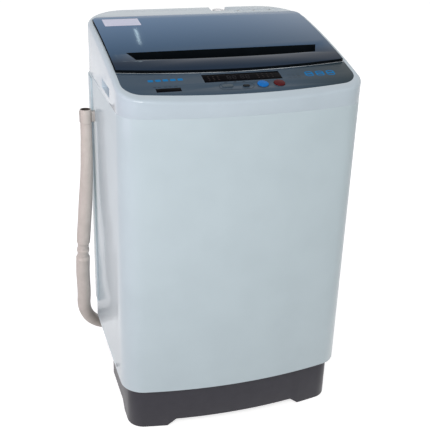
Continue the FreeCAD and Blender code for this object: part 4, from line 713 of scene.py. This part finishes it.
# Moulded right through in their colours and polished: a soft highlight along the rim.
for node, colours in key_plastic.items():
    gloss = surface(node + "_abs", *colours, 0.2, 30, 1.5, 0.002, IOR=1.53,
                    Specular_IOR_Level=0.06)
    skin(node, gloss, 1.0, 3)
press = next(joint for joint in record["behaviour"]["joints"] if joint["name"] == "start_press")
outward = -Vector(press["axis"])
rings = []
for node in RINGED:
    corners = [vertex.co for vertex in nodes[node].data.vertices]
    level = max(corner.dot(outward) for corner in corners)
    cap = [corner for corner in corners if corner.dot(outward) > level - 1e-5]
    spot = outward * (level - BUTTON_PROUD_MM / 1000)
    for axis in (Vector((1, 0, 0)), outward.cross(Vector((1, 0, 0)))):
        reach = [corner.dot(axis) for corner in cap]
        spot += axis * (min(reach) + max(reach)) / 2
    bpy.ops.mesh.primitive_torus_add(major_segments=64, minor_segments=10,
                                     major_radius=RING_RADIUS_MM / 1000,
                                     minor_radius=RING_ROUND_MM / 1000)
    ring = bpy.context.object
    ring.data.transform(Matrix.Translation(spot)
                        @ outward.to_track_quat("Z", "Y").to_matrix().to_4x4())
    rings.append(ring)
only(*rings)
bpy.ops.object.join()
bpy.ops.object.shade_smooth()
rings[0].name = "button_rings"
settle(rings[0], black_pp, "cabinet", "window_black")

# ---- drain hose ------------------------------------------------------------------------
# A smooth grey polyethylene hose. It leaves the base at the rear, rises beside the left
# wall and hangs by its cuff in a clip; a ribbed joint sits about halfway up.

HOSE_SIDES = 28
OUTLET_BEND_MM = 90
CUFF_WALL_MM = 0.9
# Height where the fine ribs of the end start, their pitch and their depth, in millimetres.
HOSE_RIBS_MM = (600, 5, 0.25)
HOSE_ROUTE = [
    (-0.086, 0.239, 0.036), (-0.112, 0.241, 0.028), (-0.136, 0.241, 0.023),
    (-0.161, 0.238, 0.021), (-0.189, 0.230, 0.022), (-0.216, 0.218, 0.029),
    (-0.239, 0.206, 0.042), (-0.259, 0.194, 0.060), (-0.277, 0.181, 0.088),
    (-0.287, 0.167, 0.124), (-0.286, 0.154, 0.166), (-0.288, 0.146, 0.205),
    (-0.290, 0.136, 0.241), (-0.290, 0.125, 0.277), (-0.290, 0.115, 0.317),
    (-0.288, 0.106, 0.362), (-0.285, 0.099, 0.410), (-0.282, 0.093, 0.462),
    (-0.279, 0.088, 0.516), (-0.278, 0.084, 0.564), (-0.277, 0.083, 0.612),
    (-0.277, 0.084, 0.640)]
# Height and radius of the hose on its way up, in millimetres.
HOSE_PROFILE = [
    (0, 15.6), (90, 16.0), (150, 16.8), (286, 16.8), (291, 13.6), (303, 13.4), (306, 15.0),
    (312, 15.0), (315, 13.4), (328, 13.4), (334, 15.8), (345, 16.2), (440, 16.0), (490, 15.0),
    (540, 13.9), (590, 13.6), (604, 13.0), (660, 12.7)]


def smooth_line(name, points):
    """Points read from one smooth spline that has the given ones as its controls."""
    curve = bpy.data.curves.new(name, "CURVE")
    curve.dimensions = "3D"
    curve.resolution_u = 24
    spline = curve.splines.new("NURBS")
    spline.points.add(len(points) - 1)
    for control, point in zip(spline.points, points):
        control.co = (*point, 1.0)
    spline.order_u = 3
    spline.use_endpoint_u = True
    holder = bpy.data.objects.new(name, curve)
    bpy.context.scene.collection.objects.link(holder)
    mesh = bpy.data.meshes.new_from_object(holder)
    line = [vertex.co.copy() for vertex in mesh.vertices]
    bpy.data.objects.remove(holder)
    bpy.data.meshes.remove(mesh)
    return line


def tube_along(name, line, radius_at, sides):
    """A tube whose rings stand square to a line, each with its own radius."""
    mesh = bmesh.new()
    across = (line[1] - line[0]).cross(Vector((0, 0, 1))).normalized()
    rings = []
    for k, centre in enumerate(line):
        ahead = (line[min(k + 1, len(line) - 1)] - line[max(k - 1, 0)]).normalized()
        across = (across - ahead * across.dot(ahead)).normalized()
        other = ahead.cross(across)
        radius = radius_at(centre, k)
        rings.append([mesh.verts.new(centre + radius * (across * cos(2 * pi * s / sides)
                                                        + other * sin(2 * pi * s / sides)))
                      for s in range(sides)])
    for one, two in zip(rings, rings[1:]):
        for s in range(sides):
            mesh.faces.new((one[s], one[(s + 1) % sides], two[(s + 1) % sides], two[s]))
    mesh.faces.new(reversed(rings[0]))
    mesh.faces.new(rings[-1])
    bmesh.ops.recalc_face_normals(mesh, faces=mesh.faces)
    data = bpy.data.meshes.new(name)
    mesh.to_mesh(data)
    mesh.free()
    piece = bpy.data.objects.new(name, data)
    bpy.context.scene.collection.objects.link(piece)
    only(piece)
    bpy.ops.object.shade_smooth_by_angle(angle=radians(40))
    return piece


def between(profile, at):
    """The value of a profile at a place, on straight runs between its points."""
    for (low, start), (high, end) in zip(profile, profile[1:]):
        if at <= high:
            return start + (end - start) * max(at - low, 0) / (high - low)
    return profile[-1][1]


def hose_radius(centre, k):
    """The hose's radius at a point of its line; the bend at the outlet keeps its width."""
    height = centre.z * 1000
    if k < len(hose_line) / 3 and height < OUTLET_BEND_MM:
        height = 0
    start, pitch, depth = HOSE_RIBS_MM
    rib = depth * sin(2 * pi * height / pitch) if height > start else 0
    return (between(HOSE_PROFILE, height) + rib) / 1000


# Blown polyethylene: a warm grey with a soft, waxy sheen.
hose_pe = surface("grey_polyethylene", "c3bbb4", "c9c1ba", 0.5, 90, 1.6, 0.004, IOR=1.51,
                  Specular_IOR_Level=0.4)
hose_line = smooth_line("hose_line", HOSE_ROUTE)
hose = tube_along("hose", hose_line, hose_radius, HOSE_SIDES)
settle(hose, hose_pe, "cabinet", "hose_grey", "drain_hose")
skin("hose_clamp", plated, 0.4)
# Moulded: a grey slightly darker than the hose that it holds.
clip_pp = surface("grey_moulded_clip", "b2aca7", "b9b3ae", 0.45, 20, 0.8, 0.004, IOR=1.49,
                  Specular_IOR_Level=0.4)
skin("hose_clip", clip_pp, 0.5)
cuff = skin("hose_cuff", hose_pe, 0.6)
# The bore of the end: a dull brown, painted shade inside the hollow end.
painted_shade_bore = surface("painted_shade_polyethylene", "2e2722", "3b332d", 0.7, 12, 0.8, 0.01, IOR=1.51)
cuff.data.materials.append(painted_shade_bore)
end = next(mount for mount in record["mounts"] if mount["name"] == "drain_hose_end")
# Faces of the bore, inside the cuff's wall, take the painted shade.
for face in cuff.data.polygons:
    across = face.center - Vector(end["pos_m"])
    across.z = 0
    if across.length < (end["dims"]["r_mm"] + CUFF_WALL_MM) / 1000 and abs(face.normal.z) < 0.5:
        face.material_index = 1
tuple(HOSE_ROUTE[0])

# ---- studio ----------------------------------------------------------------------------
# A pale floor and a white surround, lit by the surround itself and three large soft lamps: a
# strong one high at the left front, a weak violet one on the left, and one behind at the
# right that no gloss shows. A thin tube lamp far behind leaves its streak on the lid.

SURROUND = 0.42
FLOOR_GLOW = 0.68
# Place, width, watts and colour of each lamp, and whether gloss shows it.
LAMPS = [((-1.2, -2.5, 2.2), 1.4, 54.0, (1.0, 0.99, 0.98), True),
         ((-2.4, -0.6, 1.3), 1.6, 9.5, (1.0, 0.76, 1.0), True),
         ((1.2, 2.6, 1.3), 1.6, 14.0, (0.93, 0.92, 1.0), False)]
LAMPS_AIM = (0, 0, 0.45)
TUBE_PLACE = (0.105, 2.25, 2.39)
TUBE_SIZE = (0.025, 0.27)
TUBE_WATTS = 0.17
TUBE_COLOUR = (0.75, 0.95, 1.0)
STREAK = (-0.17, 0.04, 0.84)
STREAK_ALONG = (-0.18, -0.93, 0.37)


def seen(tree):
    """1 for rays from the camera, and for those that gloss or glass sends on."""
    path = add(tree, "ShaderNodeLightPath")
    gloss = add(tree, "ShaderNodeMath", {"operation": "MAXIMUM"})
    tree.links.new(path.outputs["Is Glossy Ray"], gloss.inputs[0])
    tree.links.new(path.outputs["Is Transmission Ray"], gloss.inputs[1])
    every = add(tree, "ShaderNodeMath", {"operation": "MAXIMUM"})
    tree.links.new(path.outputs["Is Camera Ray"], every.inputs[0])
    tree.links.new(gloss.outputs[0], every.inputs[1])
    return every.outputs[0]


bpy.ops.mesh.primitive_plane_add(size=14)
floor = bpy.context.object
floor.name = "floor"
# Matt paper: it takes the soft shadow, and is lit through so that it reads as white.
paper, tree, shader = material_of("pale_paper", Roughness=0.9)
shader.inputs["Base Color"].default_value = linear("dedede")
floor.data.materials.append(paper)
sight = seen(tree)
glow = add(tree, "ShaderNodeEmission", Color=linear("ffffff"), Strength=FLOOR_GLOW)
none = add(tree, "ShaderNodeEmission", Color=linear("000000"), Strength=0.0)
shown = add(tree, "ShaderNodeMixShader", Fac=sight)
tree.links.new(none.outputs[0], shown.inputs[1])
tree.links.new(glow.outputs[0], shown.inputs[2])
both = add(tree, "ShaderNodeAddShader")
tree.links.new(shader.outputs[0], both.inputs[0])
tree.links.new(shown.outputs[0], both.inputs[1])
tree.links.new(both.outputs[0], tree.nodes["Material Output"].inputs["Surface"])
floor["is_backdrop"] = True

world = bpy.data.worlds.new("surround")
bpy.context.scene.world = world
world.use_nodes = True
tree = world.node_tree
sky = tree.nodes["Background"]
sky.inputs["Color"].default_value = linear("ffffff")
sky.inputs["Strength"].default_value = SURROUND
white = add(tree, "ShaderNodeBackground", Color=linear("ffffff"), Strength=1.0)
blend = add(tree, "ShaderNodeMixShader", Fac=seen(tree))
tree.links.new(sky.outputs[0], blend.inputs[1])
tree.links.new(white.outputs[0], blend.inputs[2])
tree.links.new(blend.outputs[0], tree.nodes["World Output"].inputs["Surface"])

tube = bpy.data.lights.new("tube_lamp", "AREA")
tube.shape = "RECTANGLE"
tube.size, tube.size_y = TUBE_SIZE
tube.energy = TUBE_WATTS
tube.color = TUBE_COLOUR
holder = bpy.data.objects.new("tube_lamp", tube)
bpy.context.scene.collection.objects.link(holder)
holder.location = TUBE_PLACE
aim = (Vector(STREAK) - Vector(TUBE_PLACE)).normalized()
along = Vector(STREAK_ALONG)
along = (along - aim * along.dot(aim)).normalized()
holder.rotation_euler = Matrix((along.cross(-aim), along, -aim)).transposed().to_euler()
for number, (place, size, power, colour, mirrored) in enumerate(LAMPS):
    lamp = bpy.data.lights.new("lamp_%d" % number, "AREA")
    lamp.shape = "SQUARE"
    lamp.size = size
    lamp.energy = power
    lamp.color = colour
    holder = bpy.data.objects.new("lamp_%d" % number, lamp)
    bpy.context.scene.collection.objects.link(holder)
    holder.location = place
    holder.visible_glossy = mirrored
    holder.visible_camera = mirrored
    aim = Vector(LAMPS_AIM) - Vector(place)
    holder.rotation_euler = aim.to_track_quat("-Z", "Y").to_euler()

# The camera stands at the left front, above the lid, and looks down at the whole machine.
CAMERA_PLACE = (-0.5468, -1.6761, 1.2470)
CAMERA_TURN_DEG = (64.93, -1.76, -17.40)
LENS_MM = 69.5
SENSOR_MM = 36

view = bpy.data.cameras.new("camera")
view.lens = LENS_MM
view.sensor_width = SENSOR_MM
camera = bpy.data.objects.new("camera", view)
bpy.context.scene.collection.objects.link(camera)
camera.location = CAMERA_PLACE
camera.rotation_euler = [radians(turn) for turn in CAMERA_TURN_DEG]
bpy.context.scene.camera = camera
bpy.context.scene.view_settings.view_transform = "Standard"

low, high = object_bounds()
